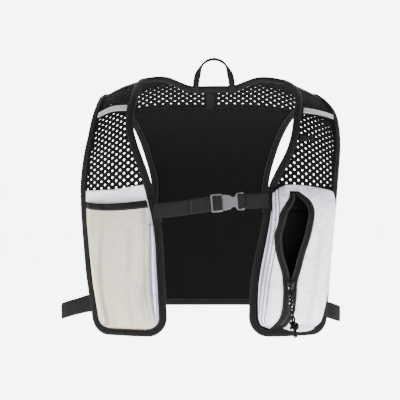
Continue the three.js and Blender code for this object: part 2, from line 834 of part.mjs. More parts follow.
// Zipped pocket: white front, slit, the two tapes of the zip, slider and pull
const zipPoint = (across, down, proud) =>
  onPocket(fronts.right, pockets.right, across * halfChest, down, proud);
const zipRows = Array.from({ length: zipSteps + 1 }, (_, i) => {
  const down = THREE.MathUtils.lerp(zipLine[0].down, zipLine[zipLine.length - 1].down, i / zipSteps);
  const read = (column) => readTable(zipLine, "down", column, down);
  return {
    down: down * frontLength,
    left: read("left"),
    openLeft: read("openLeft"),
    openRight: read("openRight"),
    right: read("right"),
  };
});
const slot = loft(
  zipRows.map((row, i) => {
    const gap = zipGap / halfChest;
    const past = i === 0 ? -zipGap : i === zipSteps ? zipGap : 0;
    return [
      zipPoint(row.left - gap, row.down + past, -pocketDepth),
      zipPoint(row.right + gap, row.down + past, -pocketDepth),
      zipPoint(row.right + gap, row.down + past, pocketDepth),
      zipPoint(row.left - gap, row.down + past, pocketDepth),
    ];
  }),
);
place("zip_pocket", cut(pockets.right.skin, [slot]), "white");
const zipTape = (from, to) =>
  walledSheet(1, zipSteps, tapeWall, (u, v) => {
    const at = Math.min(Math.floor(v * zipSteps), zipSteps - 1);
    const [above, below] = [zipRows[at], zipRows[at + 1]];
    const blend = (column) => THREE.MathUtils.lerp(above[column], below[column], v * zipSteps - at);
    return zipPoint(THREE.MathUtils.lerp(blend(from), blend(to), u), blend("down"), 0);
  });
place("zip_tape_left", zipTape("left", "openLeft"), "cloth");
place("zip_tape_right", zipTape("openRight", "right"), "cloth");

// A flat strap along points. faces holds the way that its face looks at each point.
function strap(points, faces, width, wall) {
  const rings = points.map((point, i) => {
    const before = points[Math.max(i - 1, 0)];
    const after = points[Math.min(i + 1, points.length - 1)];
    const along = after.clone().sub(before).normalize();
    const face = faces[i].clone().addScaledVector(along, -faces[i].dot(along)).normalize();
    const wide = along.cross(face);
    const corner = (w, t) =>
      point.clone().addScaledVector(wide, (w * width) / 2).addScaledVector(face, (t * wall) / 2);
    return [corner(-1, -1), corner(1, -1), corner(1, 1), corner(-1, 1)];
  });
  return loft(rings);
}

// Sternum strap: an anchor tape on each inner binding, a strap to each half of the buckle, and the
// folded tail of the left strap
const buckle = new THREE.Group();
const strapOut = onBinding + tapeWall + 3 * clearance + webbingWall / 2;
const buckleMiddle = onBody(0, sternumDown, strapOut);
buckle.position.set(buckleShift, buckleMiddle.y, buckleMiddle.z);
buckle.rotation.y = -buckleSlant;
buckle.updateMatrix();
vest.add(buckle);
const toward = new THREE.Vector3(0, -1, 0);
for (const [side, front] of Object.entries(fronts)) {
  const { sign, strapEnd } = front;
  const down = strapEnd.down * frontLength;
  const edge = span(front.outline, down)[0];
  const anchor = sheet(2, 4, (u, v, face) => {
    const at = down + (v - 0.5) * anchorLength;
    const across = span(front.outline, at)[0] + anchorStart + u * anchorWidth;
    return onBody(sign * across, at, onBinding + (face ? tapeWall : 0));
  });
  place(`strap_anchor_${side}`, anchor, "cloth");
  const inBuckle = new THREE.Vector3(sign * strapStop, 0, 0).applyMatrix4(buckle.matrix);
  const points = [
    onBody(sign * (edge + strapEnd.inside), down, strapOut),
    onBody(sign * (edge - strapEnd.inside), down, strapOut),
  ];
  points.push(points[1].clone().lerp(inBuckle, 0.5), inBuckle);
  const faces = points.map(() => toward);
  place(`sternum_strap_${side}`, strap(points, faces, webbingWidth, webbingWall), "webbing");
  if (side === "left") {
    const step = webbingWall + clearance;
    const tailShare = strapTailLength / inBuckle.distanceTo(points[1]);
    const tail = [inBuckle, inBuckle.clone().lerp(points[1], tailShare)];
    tail.forEach((point) => point.addScaledVector(toward, step));
    place("strap_tail", strap(tail, [toward, toward], webbingWidth, webbingWall), "webbing");
  }
}

// Buckle: a clip with a slotted frame and two prongs, in a waisted socket. Shapes are drawn along
// the strap and extruded through the buckle's wall.
function plate(draw, wall, holes = []) {
  const shape = new THREE.Shape();
  draw(shape);
  holes.forEach((hole) => {
    const path = new THREE.Path();
    hole(path);
    shape.holes.push(path);
  });
  const geometry = new THREE.ExtrudeGeometry(shape, { depth: wall, bevelEnabled: false, curveSegments: 5 });
  geometry.translate(0, 0, -wall / 2);
  geometry.rotateX(Math.PI / 2);
  return bareGeometry(geometry);
}
const rectangle = (left, right, half) => (path) => {
  path.moveTo(left, -half);
  path.lineTo(right, -half);
  path.lineTo(right, half);
  path.lineTo(left, half);
};
const halfHeight = buckleHeight / 2;
const clipEnd = -buckleLength / 2;
const socketEnd = buckleLength / 2;
const socketMouth = clipEnd + buckleLength * mouthShare;
const slotHalf = webbingWidth / 2 + clearance;
const slotFront = socketEnd - barWidth - slotLength - slotRim;
const socketShape = (shape) => {
  const [mouth, neck, waist, rear] = [mouthHeight, neckHeight, waistShare, rearHeight].map(
    (share) => share * halfHeight,
  );
  shape.moveTo(socketMouth, -mouth);
  shape.quadraticCurveTo(socketMouth + neckStart, -mouth, socketMouth + neckEnd, -neck);
  shape.quadraticCurveTo(socketMouth + waistAt, -waist, slotFront, -rear);
  shape.lineTo(socketEnd, -halfHeight);
  shape.lineTo(socketEnd, halfHeight);
  shape.lineTo(slotFront, rear);
  shape.quadraticCurveTo(socketMouth + waistAt, waist, socketMouth + neckEnd, neck);
  shape.quadraticCurveTo(socketMouth + neckStart, mouth, socketMouth, mouth);
};
const strapSlot = rectangle(socketEnd - barWidth - slotLength, socketEnd - barWidth, slotHalf);
const cavityEnd = socketMouth + prongLength;
const cavity = plate(rectangle(socketMouth - 1, cavityEnd, halfHeight * prongHeight), cavityWall);
place("buckle_socket", cut(plate(socketShape, buckleWall, [strapSlot]), [cavity]), "plastic", buckle);
const frameEnd = socketMouth - clearance;
const frame = plate(rectangle(clipEnd, frameEnd, halfHeight), buckleWall, [
  rectangle(clipEnd + barWidth, clipEnd + barWidth + slotLength, slotHalf),
]);
const prongs = plate(
  rectangle(frameEnd - barWidth / 2, cavityEnd - clearance, halfHeight * prongHeight - clearance),
  cavityWall - 2 * clearance,
);
place("buckle_clip", join([frame, prongs]), "plastic", buckle);

// Side straps: a tab from under each armhole binding and a webbing strap that bows round to the
// back panel. bow is the strap's way round, as shares of sideReach and halfDepth.
for (const [side, front] of Object.entries(fronts)) {
  const { sign } = front;
  const slip = side === "right" ? sideSlip : 0;
  const tabDown = sideDown + slip;
  const edge = span(front.outline, tabDown)[1];
  const backDown = sideUp - backLength;
  const under = bindingLow - 3 * clearance - webbingWall / 2;
  const outside = onBinding + 7 * clearance + 1.5 * webbingWall;
  const from = onBody(sign * (edge - bindingWidth), tabDown, under);
  const to = onBody(sign * (backEdge(backDown) - bindingWidth), backDown, outside);
  const route = new THREE.CatmullRomCurve3(
    [
      from,
      onBody(sign * (edge + bindingWidth / 2), tabDown, under),
      ...front.bow.map(
        ({ x, y, drop }) =>
          new THREE.Vector3(sign * x * sideReach, y * halfDepth, -drop * frontDrop - slip),
      ),
      onBody(sign * (backEdge(backDown) + bindingWidth), backDown, outside + webbingWall),
      to,
    ],
    false,
    "centripetal",
  );
  const stretch = (start, end, steps, shift, width) => {
    const points = [];
    const faces = [];
    for (let i = 0; i <= steps; i += 1) {
      const at = THREE.MathUtils.lerp(start, end, i / steps);
      const along = route.getTangentAt(at);
      const face = new THREE.Vector3(along.y, -along.x, 0).multiplyScalar(sign).normalize();
      points.push(route.getPointAt(at).addScaledVector(face, shift));
      faces.push(face);
    }
    return strap(points, faces, width, webbingWall);
  };
  place(`side_tab_${side}`, stretch(0, tabShare, 8, 0, tabWidth), "webbing");
  const inner = -webbingWall - 3 * clearance;
  place(`side_strap_${side}`, stretch(tabShare - 0.09, 1, 18, inner, webbingWidth), "webbing");
}

// Hang loop: its feet lie flat on the inside of the neck binding and its crown turns edge on
const footOut = bindingLow - clearance - loopWall / 2;
const footEnd = onBody(0, 1 - neckDepth - bindingWidth, footOut);
const footEdge = onBody(0, neckDown(loopShift + (loopSpan + loopWidth) / 2) + 2, footOut);
const footFace = footEnd.clone().sub(onBody(0, 1 - neckDepth - bindingWidth, 0)).normalize();
const loopHalf = (side) => {
  const x = (share) => loopShift + (side * share * loopSpan) / 2;
  const rising = loopWay.map(
    (row) => new THREE.Vector3(x(row.x), footEdge.y, THREE.MathUtils.lerp(footEdge.z, loopTop, row.rise)),
  );
  return [footEnd.clone().setX(x(1)), footEdge.clone().setX(x(1)), ...rising];
};
const loopCurve = new THREE.CatmullRomCurve3([
  ...loopHalf(-1),
  new THREE.Vector3(loopShift, footEdge.y, loopTop),
  ...loopHalf(1).reverse(),
]);
const loopPoints = loopCurve.getSpacedPoints(loopSteps);
const loopFaces = loopPoints.map((point) => {
  const turn = THREE.MathUtils.smoothstep((point.z - footEdge.z) / (loopTop - footEdge.z), 0.15, 0.95);
  return footFace.clone().lerp(new THREE.Vector3(0, 0, 1), turn);
});
place("hang_loop", strap(loopPoints, loopFaces, loopWidth, loopWall), "webbing");

// Zip slider and its pull, a knotted cord that hangs from it
const sliderMiddle =
  (readTable(zipLine, "down", "openLeft", sliderDown / frontLength) +
    readTable(zipLine, "down", "openRight", sliderDown / frontLength)) / 2;
const slider = sheet(1, 1, (u, v, face) => {
  const width = sliderWidth * (1 - sliderTaper * v);
  const across = sliderMiddle + ((u - 0.5) * width) / halfChest;
  const low = tapeWall / 2 + clearance;
  return zipPoint(across, sliderDown + (v - 0.5) * sliderLength, low + (face ? sliderHeight : 0));
});
place("zip_slider", slider, "metal");

// The pull's points are chosen by eye from the slider down to the end of its tail.
const pullPoints = [
  [103, -128.7, -276],
  [103.8, -129.8, -287],
  [105.2, -130.6, -301],
  [107.5, -130, -315],
  [109, -129.5, -328],
  [111, -129, -343],
].map(([x, y, z]) => new THREE.Vector3(x, y, z));
const pullCurve = new THREE.CatmullRomCurve3(pullPoints);
const cordSection = new THREE.Shape();
cordSection.absarc(0, 0, cordDiameter / 2, 0, Math.PI * 2);
const pull = new THREE.ExtrudeGeometry(cordSection, {
  extrudePath: pullCurve,
  steps: 12,
  curveSegments: 4,
});
const knot = new THREE.IcosahedronGeometry(knotDiameter / 2, 1);
knot.translate(...pullPoints[4].toArray());
place("zip_pull_cord", join([bareGeometry(pull), bareGeometry(knot)]), "cord");

export default vest;
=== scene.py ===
"""Looks of a running hydration vest in its worn shape.

The vest is drawn flat in cloth measure and laid on the body. Cloth measure is in millimetres:
"across" runs from the centre line to the armhole, "down" from the shoulder seam (more than 0 down
the front, less than 0 down the back), and "out" is the height above the cloth's inner face.
Left and right are those of someone who looks at the front.
"""

import math

import bpy
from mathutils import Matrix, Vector, noise
from mathutils.geometry import delaunay_2d_cdt


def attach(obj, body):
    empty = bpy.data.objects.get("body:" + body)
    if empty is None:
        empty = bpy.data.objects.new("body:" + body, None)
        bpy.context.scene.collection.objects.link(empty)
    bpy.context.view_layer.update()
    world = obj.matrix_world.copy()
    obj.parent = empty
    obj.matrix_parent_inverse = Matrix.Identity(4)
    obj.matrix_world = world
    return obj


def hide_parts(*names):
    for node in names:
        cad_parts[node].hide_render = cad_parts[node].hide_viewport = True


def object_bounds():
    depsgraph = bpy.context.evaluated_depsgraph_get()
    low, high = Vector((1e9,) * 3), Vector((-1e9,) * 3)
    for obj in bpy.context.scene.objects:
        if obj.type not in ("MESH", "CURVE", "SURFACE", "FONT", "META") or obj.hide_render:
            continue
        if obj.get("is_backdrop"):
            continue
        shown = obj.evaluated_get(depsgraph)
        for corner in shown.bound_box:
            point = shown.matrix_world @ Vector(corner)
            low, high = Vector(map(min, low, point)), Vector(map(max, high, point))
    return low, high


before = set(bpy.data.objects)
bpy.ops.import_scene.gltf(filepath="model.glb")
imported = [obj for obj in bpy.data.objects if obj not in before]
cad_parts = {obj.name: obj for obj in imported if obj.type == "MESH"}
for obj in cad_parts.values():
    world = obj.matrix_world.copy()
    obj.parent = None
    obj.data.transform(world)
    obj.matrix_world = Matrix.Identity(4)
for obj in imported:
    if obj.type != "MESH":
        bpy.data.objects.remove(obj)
cad_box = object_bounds()

# --- Studio ---------------------------------------------------------------------------------
# A pale seamless sweep with one large soft light above, one at each side, and an even white sky.
# The camera looks straight at the chest from two metres, level with the middle of the vest.

MM = 0.001


def linear(code):
    """The linear colour of an sRGB hex value."""
    shares = [int(code[i : i + 2], 16) / 255 for i in (0, 2, 4)]
    lit = [s / 12.92 if s <= 0.04045 else ((s + 0.055) / 1.055) ** 2.4 for s in shares]
    return (*lit, 1.0)


def wire(node, sockets):
    """Sets a node's sockets: links those that are given another node's socket."""
    for name, value in sockets.items():
        if isinstance(value, bpy.types.NodeSocket):
            node.id_data.links.new(value, node.inputs[name])
        else:
            node.inputs[name].default_value = value


def add(shader, kind, sockets=None, ramp=(), **settings):
    """Adds a node beside a shader, with its settings, its sockets and the stops of its ramp."""
    made = shader.id_data.nodes.new(f"ShaderNode{kind}")
    for name, value in settings.items():
        setattr(made, name, value)
    while ramp and len(made.color_ramp.elements) < len(ramp):
        made.color_ramp.elements.new(0.5)
    for i, (position, colour) in enumerate(ramp):
        made.color_ramp.elements[i].position = position
        made.color_ramp.elements[i].color = colour
    wire(made, sockets or {})
    return made


def finish_named(name):
    """A material with its shader, ready for its nodes."""
    made = bpy.data.materials.new(name)
    made.use_nodes = True
    return made, made.node_tree.nodes["Principled BSDF"]


def placed(name, data):
    """A new object in the scene."""
    made = bpy.data.objects.new(name, data)
    bpy.context.collection.objects.link(made)
    return made


def mesh_of(name, points, faces, material, smooth=True):
    """A new mesh in the scene."""
    mesh = bpy.data.meshes.new(name)
    mesh.from_pydata(points, [], faces)
    mesh.materials.append(material)
    for face in mesh.polygons:
        face.use_smooth = smooth
    return placed(name, mesh)


backdrop_paper, shader = finish_named("backdrop_paper")
glow = {"Emission Color": linear("ffffff"), "Emission Strength": 5.0}
wire(shader, {"Base Color": linear("f4f4f4"), "Roughness": 0.9, **glow})

SWEEP_HALF = 6.0
SWEEP_FLOOR = -0.75
SWEEP_FRONT = -5.0
SWEEP_BACK = 4.5
SWEEP_BEND = 1.5
sweep_rows = [(SWEEP_FRONT, SWEEP_FLOOR)]
for i in range(13):
    turn = i / 12 * math.pi / 2
    back = SWEEP_BACK - SWEEP_BEND + SWEEP_BEND * math.sin(turn)
    sweep_rows.append((back, SWEEP_FLOOR + SWEEP_BEND * (1 - math.cos(turn))))
sweep_rows.append((SWEEP_BACK, SWEEP_HALF))
backdrop = mesh_of(
    "backdrop",
    [(side * SWEEP_HALF, y, z) for y, z in sweep_rows for side in (-1, 1)],
    [(2 * i, 2 * i + 1, 2 * i + 3, 2 * i + 2) for i in range(len(sweep_rows) - 1)],
    backdrop_paper,
)
backdrop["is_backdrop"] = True

world = bpy.data.worlds.new("white_sky")
bpy.context.scene.world = world
world.use_nodes = True
sky = world.node_tree.nodes["Background"]
wire(sky, {"Color": linear("ffffff"), "Strength": 0.45})

LAMPS = [
    {"name": "lamp_above", "at": (-0.7, -1.6, 1.5), "size": 1.6, "watts": 34},
    {"name": "lamp_left", "at": (-1.9, -1.2, 0.1), "size": 1.2, "watts": 9},
    {"name": "lamp_right", "at": (1.8, -1.3, 0.2), "size": 1.2, "watts": 9},
]
CHEST = Vector((0.0, 0.0, -0.16))
for lamp in LAMPS:
    light = bpy.data.lights.new(lamp["name"], "AREA")
    light.size = lamp["size"]
    light.energy = lamp["watts"]
    holder = placed(lamp["name"], light)
    holder.location = lamp["at"]
    holder.rotation_euler = (CHEST - holder.location).to_track_quat("-Z", "Y").to_euler()

camera_data = bpy.data.cameras.new("camera")
camera_data.sensor_width = 36.0
camera_data.lens = 127.9
camera = placed("camera", camera_data)
camera.location = (-0.015, -2.0, -0.162)
camera.rotation_euler = (math.pi / 2, 0, 0)
bpy.context.scene.camera = camera

# --- Zip pull -------------------------------------------------------------------------------
# A doubled cord of braided polyester, black with white flecks, looped through the zip's slider,
# twisted on itself and tied off in one overhand knot with a short tail. It hangs on the pocket.

# What cloth measure says of the distance to a pocket's inner edge, away from the pockets.
FAR = 500.0


def piece(name, points, faces, material, slot, wall=0.0, cloth=(), node=None, smooth=True):
    """A piece of the vest in place of a CAD node. cloth keeps each point's place in cloth measure
    for the weave."""
    made = mesh_of(name, points, faces, material, smooth)
    if cloth:
        kept = made.data.attributes.new("cloth", "FLOAT_VECTOR", "POINT")
        for item, at in zip(kept.data, cloth):
            item.vector = at if len(at) == 3 else (*at, FAR)
    if wall:
        thick = made.modifiers.new("wall", "SOLIDIFY")
        thick.thickness = wall * MM
        thick.offset = 0
    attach(made, "root")
    if node:
        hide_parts(node)
    return made


def own_place(shader):
    """The place of each point of a piece in cloth measure, for the weave."""
    return add(shader, "Attribute", attribute_name="cloth").outputs["Vector"]


def relief(shader, layers):
    """Bumps laid over one another, each a height, a strength and a depth in metres."""
    under = {}
    for height, strength, depth in layers:
        bump = {"Height": height, "Strength": strength, "Distance": depth}
        under = {"Normal": add(shader, "Bump", bump | under).outputs["Normal"]}
    return under


def two_tone(shader, fac, tones, values, layers=(), stops=(0, 1)):
    """Colours a material between two tones by fac, and roughens it. Gives the ramp."""
    ramp = [(stop, linear(tone)) for stop, tone in zip(stops, tones)]
    tone = add(shader, "ValToRGB", {"Fac": fac}, ramp)
    wire(shader, {"Base Color": tone.outputs["Color"], **relief(shader, layers), **values})
    return tone.color_ramp


def headings(path, closed=False):
    """Which way a line through points runs at each of them."""
    last = len(path) - 1
    found = []
    for i in range(len(path)):
        before, after = path[max(i - 1, 0)], path[min(i + 1, last)]
        if closed:
            before, after = path[i - 1], path[(i + 1) % len(path)]
        found.append((after - before).normalized())
    return found


def hull(rows, sides, closed=False):
    """Faces of a skin over rows of points, each a ring; the ends are capped unless it is closed."""
    faces = []
    for i in range(rows if closed else rows - 1):
        a, b = i * sides, (i + 1) % rows * sides
        for k in range(sides):
            next_k = (k + 1) % sides
            faces.append((a + k, a + next_k, b + next_k, b + k))
    if not closed:
        faces.append(tuple(range(sides))[::-1])
        faces.append(tuple((rows - 1) * sides + k for k in range(sides)))
    return faces


def tube(path, radius, closed=False, sides=8):
    """Points and faces of a round tube along a path in metres."""
    points = []
    side = Vector((0, 0, 1))
    for at, along in zip(path, headings(path, closed)):
        lean = side.dot(along)
        side = side - along * lean if abs(lean) < 0.99 else along.orthogonal()
        side.normalize()
        up = along.cross(side)
        for k in range(sides):
            turn = 2 * math.pi * k / sides
            points.append(at + (side * math.cos(turn) + up * math.sin(turn)) * radius)
    return points, hull(len(path), sides, closed)


def smooth_path(points, steps):
    """A rounded line through points, in steps for each stretch."""
    made = []
    last = len(points) - 1
    for i in range(last):
        p0, p1, p2, p3 = (points[min(max(i + k, 0), last)] for k in (-1, 0, 1, 2))
        for k in range(steps):
            t = k / steps
            bend = (2 * p0 - 5 * p1 + 4 * p2 - p3) * t * t
            turn = (3 * p1 - p0 - 3 * p2 + p3) * t * t * t
            made.append(0.5 * (2 * p1 + (p2 - p0) * t + bend + turn))
    return made + [points[-1]]


def joined(parts):
    """One set of points and faces made of several."""
    points, faces = [], []
    for some_points, some_faces in parts:
        first = len(points)
        points += some_points
        faces += [tuple(first + i for i in face) for face in some_faces]
    return points, faces


# Braided polyester cord, black with a white tracer yarn: matt, with slanted strands 1 mm apart.
pull_cord, shader = finish_named("pull_cord_polyester_braided")
place_at = add(shader, "TexCoord").outputs["Object"]
tracer = add(shader, "TexVoronoi", {"Vector": place_at, "Scale": 480.0}).outputs["Color"]
braid = add(shader, "TexWave", {"Vector": place_at, "Scale": 330.0, "Distortion": 2.0})
strands_high = [(braid.outputs["Fac"], 0.6, 0.0004)]
matt = {"Roughness": 0.75, "Specular IOR Level": 0.08}
flecks = two_tone(shader, tracer, ("030303", "c4c4c2"), matt, strands_high, (0, 0.82))
flecks.interpolation = "CONSTANT"

CORD_DIAMETER = 3
STRAND_APART = 0.5
STRAND_RADIUS = 0.42
CORD_TWIST = 6
PULL_POINTS = [
    (103, -128.7, -276),
    (103.8, -129.8, -287),
    (105.2, -130.6, -301),
    (107.5, -130, -315),
    (109, -129.5, -328),
    (111, -129, -343),
]
KNOT_POINT = 4
KNOT_CORD_RADIUS = 1.9
# The loops of the knot: how far each leans, its half width and height, and how far up it lies.
KNOT_LOOPS = [(0.5, 4.3, 3.0, -2.2), (-0.6, 4.6, 3.2, 2.2), (0.1, 4.0, 3.6, 0.1)]
pull_way = smooth_path([Vector(p) * MM for p in PULL_POINTS], 14)
strands = []
for start in (0, math.pi):
    strand = []
    for i, (at, along) in enumerate(zip(pull_way, headings(pull_way))):
        side = along.cross(Vector((0, 1, 0))).normalized()
        turn = start + i / (len(pull_way) - 1) * CORD_TWIST * math.pi
        away = side * math.cos(turn) + along.cross(side) * math.sin(turn)
        strand.append(at + away * CORD_DIAMETER * STRAND_APART * MM)
    strands.append(tube(strand, CORD_DIAMETER * STRAND_RADIUS * MM))
zip_pull = piece("zip_pull", *joined(strands), pull_cord, "pull_cord")
knot_middle = Vector(PULL_POINTS[KNOT_POINT]) * MM
knot_loops = []
for lean, wide, high, shift in KNOT_LOOPS:
    ring = []
    for k in range(22):
        turn = 2 * math.pi * k / 22
        x, y = wide * math.cos(turn), high * math.sin(turn)
        ring.append(knot_middle + Vector((x, y * 0.9, shift + y * 0.55 + lean * x * 0.4)) * MM)
    knot_loops.append(tube(ring, KNOT_CORD_RADIUS * MM, True))
pull_knot = piece("pull_knot", *joined(knot_loops), pull_cord, "pull_cord")
tuple(pull_way[0])
sum((b - a).length for a, b in zip(pull_way, pull_way[1:]))
[tuple(p) for p in pull_way]
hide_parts("zip_pull_cord")

# --- Chest nets and shoulder caps -----------------------------------------------------------
# Warp-knitted polyester spacer net, two millimetres thick, with staggered round holes; the ends on
# the shoulders are solid black cloth. Both are sewn at the shoulder seam and bound at the edges.

HALF_DEPTH = 109
SHOULDER_RISE = 10
FRONT_DROP = 345
BACK_DROP = 317
FLAT_HALF = 55
BODY_RADIUS = 176
HALF_CHEST = 188
CLOTH_WALL = 1.6
BINDING_WIDTH = 11
CAP_LENGTH = 26
NET_BOTTOM = 236
# The way over the shoulder, from the back's hem to the front's: depth, height and its unit.
SPINE_SHARES = [
    (0.9, -1, BACK_DROP),
    (0.954, -0.8, BACK_DROP),
    (0.98, -0.573, BACK_DROP),
    (0.954, -0.318, BACK_DROP),
    (0.75, -0.121, BACK_DROP),
    (0.41, -0.004, BACK_DROP),
    (0.07, 1, SHOULDER_RISE),
    (-0.28, -0.01, FRONT_DROP),
    (-0.62, -0.11, FRONT_DROP),
    (-0.9, -0.275, FRONT_DROP),
    (-1, -0.493, FRONT_DROP),
    (-0.955, -0.754, FRONT_DROP),
    (-0.92, -1, FRONT_DROP),
]
SEAM_ROW = 6


def read(rows, at, column=1, key=0):
    """Reads a smooth curve off a table: the column's value where the key column equals at."""
    last = len(rows) - 2
    i = 0
    while i < last and rows[i + 1][key] < at:
        i += 1

    def slope(j):
        before, after = rows[max(j - 1, 0)], rows[min(j + 1, last + 1)]
        return (after[column] - before[column]) / (after[key] - before[key])

    start, end = rows[i], rows[i + 1]
    length = end[key] - start[key]
    t = min(max((at - start[key]) / length, 0), 1)
    turn = t * t * (3 - 2 * t)
    bend = t * (1 - t) * (1 - t) * slope(i) - t * t * (1 - t) * slope(i + 1)
    return start[column] * (1 - turn) + end[column] * turn + length * bend


shoulder_way = [(y * HALF_DEPTH, z * of) for y, z, of in SPINE_SHARES]
runs = [0.0]
for start, end in zip(shoulder_way, shoulder_way[1:]):
    runs.append(runs[-1] + math.hypot(end[0] - start[0], end[1] - start[1]))
spine = [(run - runs[SEAM_ROW], y, z) for run, (y, z) in zip(runs, shoulder_way)]
FRONT_LENGTH = spine[-1][0]
BACK_LENGTH = -spine[0][0]


def ripple(across, down):
    """How far the sewn cloth stands off its even shape: slow puckers under a millimetre high."""
    slow = noise.noise(Vector((across / 41, down / 47, 3.1)))
    quick = noise.noise(Vector((across / 17, down / 15, 8.4)))
    return 0.8 * slow + 0.25 * quick


def on_body(across, down, out):
    """The place in space, in metres, of a point of the cloth."""
    step = 0.5
    at = min(max(down, step - BACK_LENGTH), FRONT_LENGTH - step)
    y0, y1 = (read(spine, at + s, 1) for s in (-step, step))
    z0, z1 = (read(spine, at + s, 2) for s in (-step, step))
    run = math.hypot(y1 - y0, z1 - z0)
    along_y, along_z = (y1 - y0) / run, (z1 - z0) / run
    y = (y0 + y1) / 2 + along_y * (down - at)
    z = (z0 + z1) / 2 + along_z * (down - at)
    out += ripple(across, down)
    angle = max(0, abs(across) - FLAT_HALF) / BODY_RADIUS
    reach = min(abs(across), FLAT_HALF) + (BODY_RADIUS + out) * math.sin(angle)
    inward = BODY_RADIUS - (BODY_RADIUS + out) * math.cos(angle)
    return Vector((math.copysign(reach, across), y - along_z * inward, z + along_y * inward)) * MM


# The inner and outer edges of the two fronts, as shares of their length and of half the chest.
fronts = {
    "left": {
        "sign": -1,
        "corner": {"inner": 27, "outer": 21},
        "inner": [(0, 0.468), (0.09, 0.511), (0.26, 0.563), (0.34, 0.537), (0.49, 0.428)]
        + [(0.63, 0.354), (0.78, 0.33), (1, 0.308)],
        "outer": [(0, 0.85), (0.14, 0.894), (0.36, 0.973), (0.5, 1), (0.73, 0.968), (1, 0.867)],
    },
    "right": {
        "sign": 1,
        "corner": {"inner": 28, "outer": 21},
        "inner": [(0, 0.513), (0.1, 0.616), (0.25, 0.598), (0.37, 0.545), (0.51, 0.403)]
        + [(0.62, 0.36), (0.81, 0.282), (1, 0.262)],
        "outer": [(0, 0.88), (0.09, 0.97), (0.24, 1.01), (0.45, 0.975), (0.73, 0.905), (1, 0.85)],
    },
}


def edge_at(front, edge, down):
    """How far across an edge of a front is, with its corner at the hem rounded."""
    radius = front["corner"][edge]
    into = min(max(down - (FRONT_LENGTH - radius), 0), radius)
    pull = radius - math.sqrt(radius * radius - into * into)
    across = read(front[edge], down / FRONT_LENGTH) * HALF_CHEST
    return across + pull if edge == "inner" else across - pull


def front_outline(front, straight=90, corner=12, hem=16):
    """Down the inner edge from the neck point, round the hem and up the armhole edge."""

    def trace(edge):
        radius = front["corner"][edge]
        downs = [i / straight * (FRONT_LENGTH - radius) for i in range(straight)]
        for i in range(corner + 1):
            downs.append(FRONT_LENGTH - radius * (1 - math.sin(i / corner * math.pi / 2)))
        return [(edge_at(front, edge, down), down) for down in downs]

    inner, outer = trace("inner"), trace("outer")
    (a, _), (b, _) = inner[-1], outer[-1]
    foot = [(a + (b - a) * i / hem, FRONT_LENGTH) for i in range(1, hem)]
    return inner + foot + outer[::-1]


def offset(outline, distance):
    """Moves an outline into the cloth, and keeps its ends on the shoulder seam."""
    moved = []
    for i, (x, y) in enumerate(outline):
        (x0, y0), (x1, y1) = outline[max(i - 1, 0)], outline[min(i + 1, len(outline) - 1)]
        length = math.hypot(x1 - x0, y1 - y0)
        side_x, side_y = (y1 - y0) / length, -(x1 - x0) / length
        if i in (0, len(outline) - 1):
            side_x, side_y = math.copysign(1, side_x), 0
        moved.append((x + side_x * distance, y + side_y * distance))
    return moved


def span(outline, down):
    """Least and greatest across of an outline at one down."""
    found = []
    for (x0, y0), (x1, y1) in zip(outline, outline[1:]):
        if (y0 - down) * (y1 - down) <= 0 and y0 != y1:
            found.append(x0 + (x1 - x0) * (down - y0) / (y1 - y0))
    return min(found), max(found)


def triangulated(loops, loose, is_kept, *how):
    """Triangles between closed loops and loose points: all the points, and the faces kept."""
    points, edges = [], []
    for loop in loops:
        first = len(points)
        points += [Vector(p) for p in loop]
        edges += [(first + i, first + (i + 1) % len(loop)) for i in range(len(loop))]
    found = delaunay_2d_cdt(points + [Vector(p) for p in loose], edges, *how)
    cut, kept = found[0], []
    for triangle in found[2]:
        middle = sum((cut[i] for i in triangle), Vector((0, 0))) / len(triangle)
        if is_kept(*middle):
            kept.append(tuple(triangle))
    return cut, kept


def no_holes(x, y, reach):
    return False


def cut_cloth(outline, spacing, holes=(), is_hole=no_holes):
    """Triangles of a flat cut with holes: its points in cloth measure and its faces."""
    loose = []
    xs, ys = [p[0] for p in outline], [p[1] for p in outline]
    x = min(xs) + spacing / 2
    while x < max(xs):
        y = min(ys) + spacing / 2
        while y < max(ys):
            if not is_hole(x, y, 1.25):
                loose.append((x, y))
            y += spacing
        x += spacing
    rim = list(range(len(outline)))
    cut, kept = triangulated(
        [outline, *holes], loose, lambda x, y: not is_hole(x, y, 1.0), [rim], 1, 1e-4
    )
    used = sorted({i for triangle in kept for i in triangle})
    order = {old: new for new, old in enumerate(used)}
    flat = [(cut[i].x, cut[i].y) for i in used]
    return flat, [tuple(order[i] for i in triangle) for triangle in kept]


def flat_area(flat, faces):
    total = 0.0
    for face in faces:
        for i in range(1, len(face) - 1):
            (x0, y0), (x1, y1), (x2, y2) = flat[face[0]], flat[face[i]], flat[face[i + 1]]
            total += abs((x1 - x0) * (y2 - y0) - (x2 - x0) * (y1 - y0)) / 2
    return total * MM * MM


def extent(flat):
    """Width and length of a flat pattern, in metres."""
    xs, ys = [p[0] for p in flat], [p[1] for p in flat]
    return (max(xs) - min(xs)) * MM, (max(ys) - min(ys)) * MM


def declare_cloth(flat, faces):
    """Works out a piece's width, length and area from its flat pattern, and does nothing more with
    them.
    """
    width, length = extent(flat)
    area = min(max(flat_area(flat, faces), 0.31 * width * length), width * length)


def cloth_piece(name, outline, spacing, at, material, slot, wall, node=None):
    """A piece of plain cloth cut from its flat pattern and laid in place by at."""
    flat, faces = cut_cloth(outline, spacing)
    made = piece(name, [at(x, y) for x, y in flat], faces, material, slot, wall, flat, node)
    declare_cloth(flat, faces)
    return made, flat


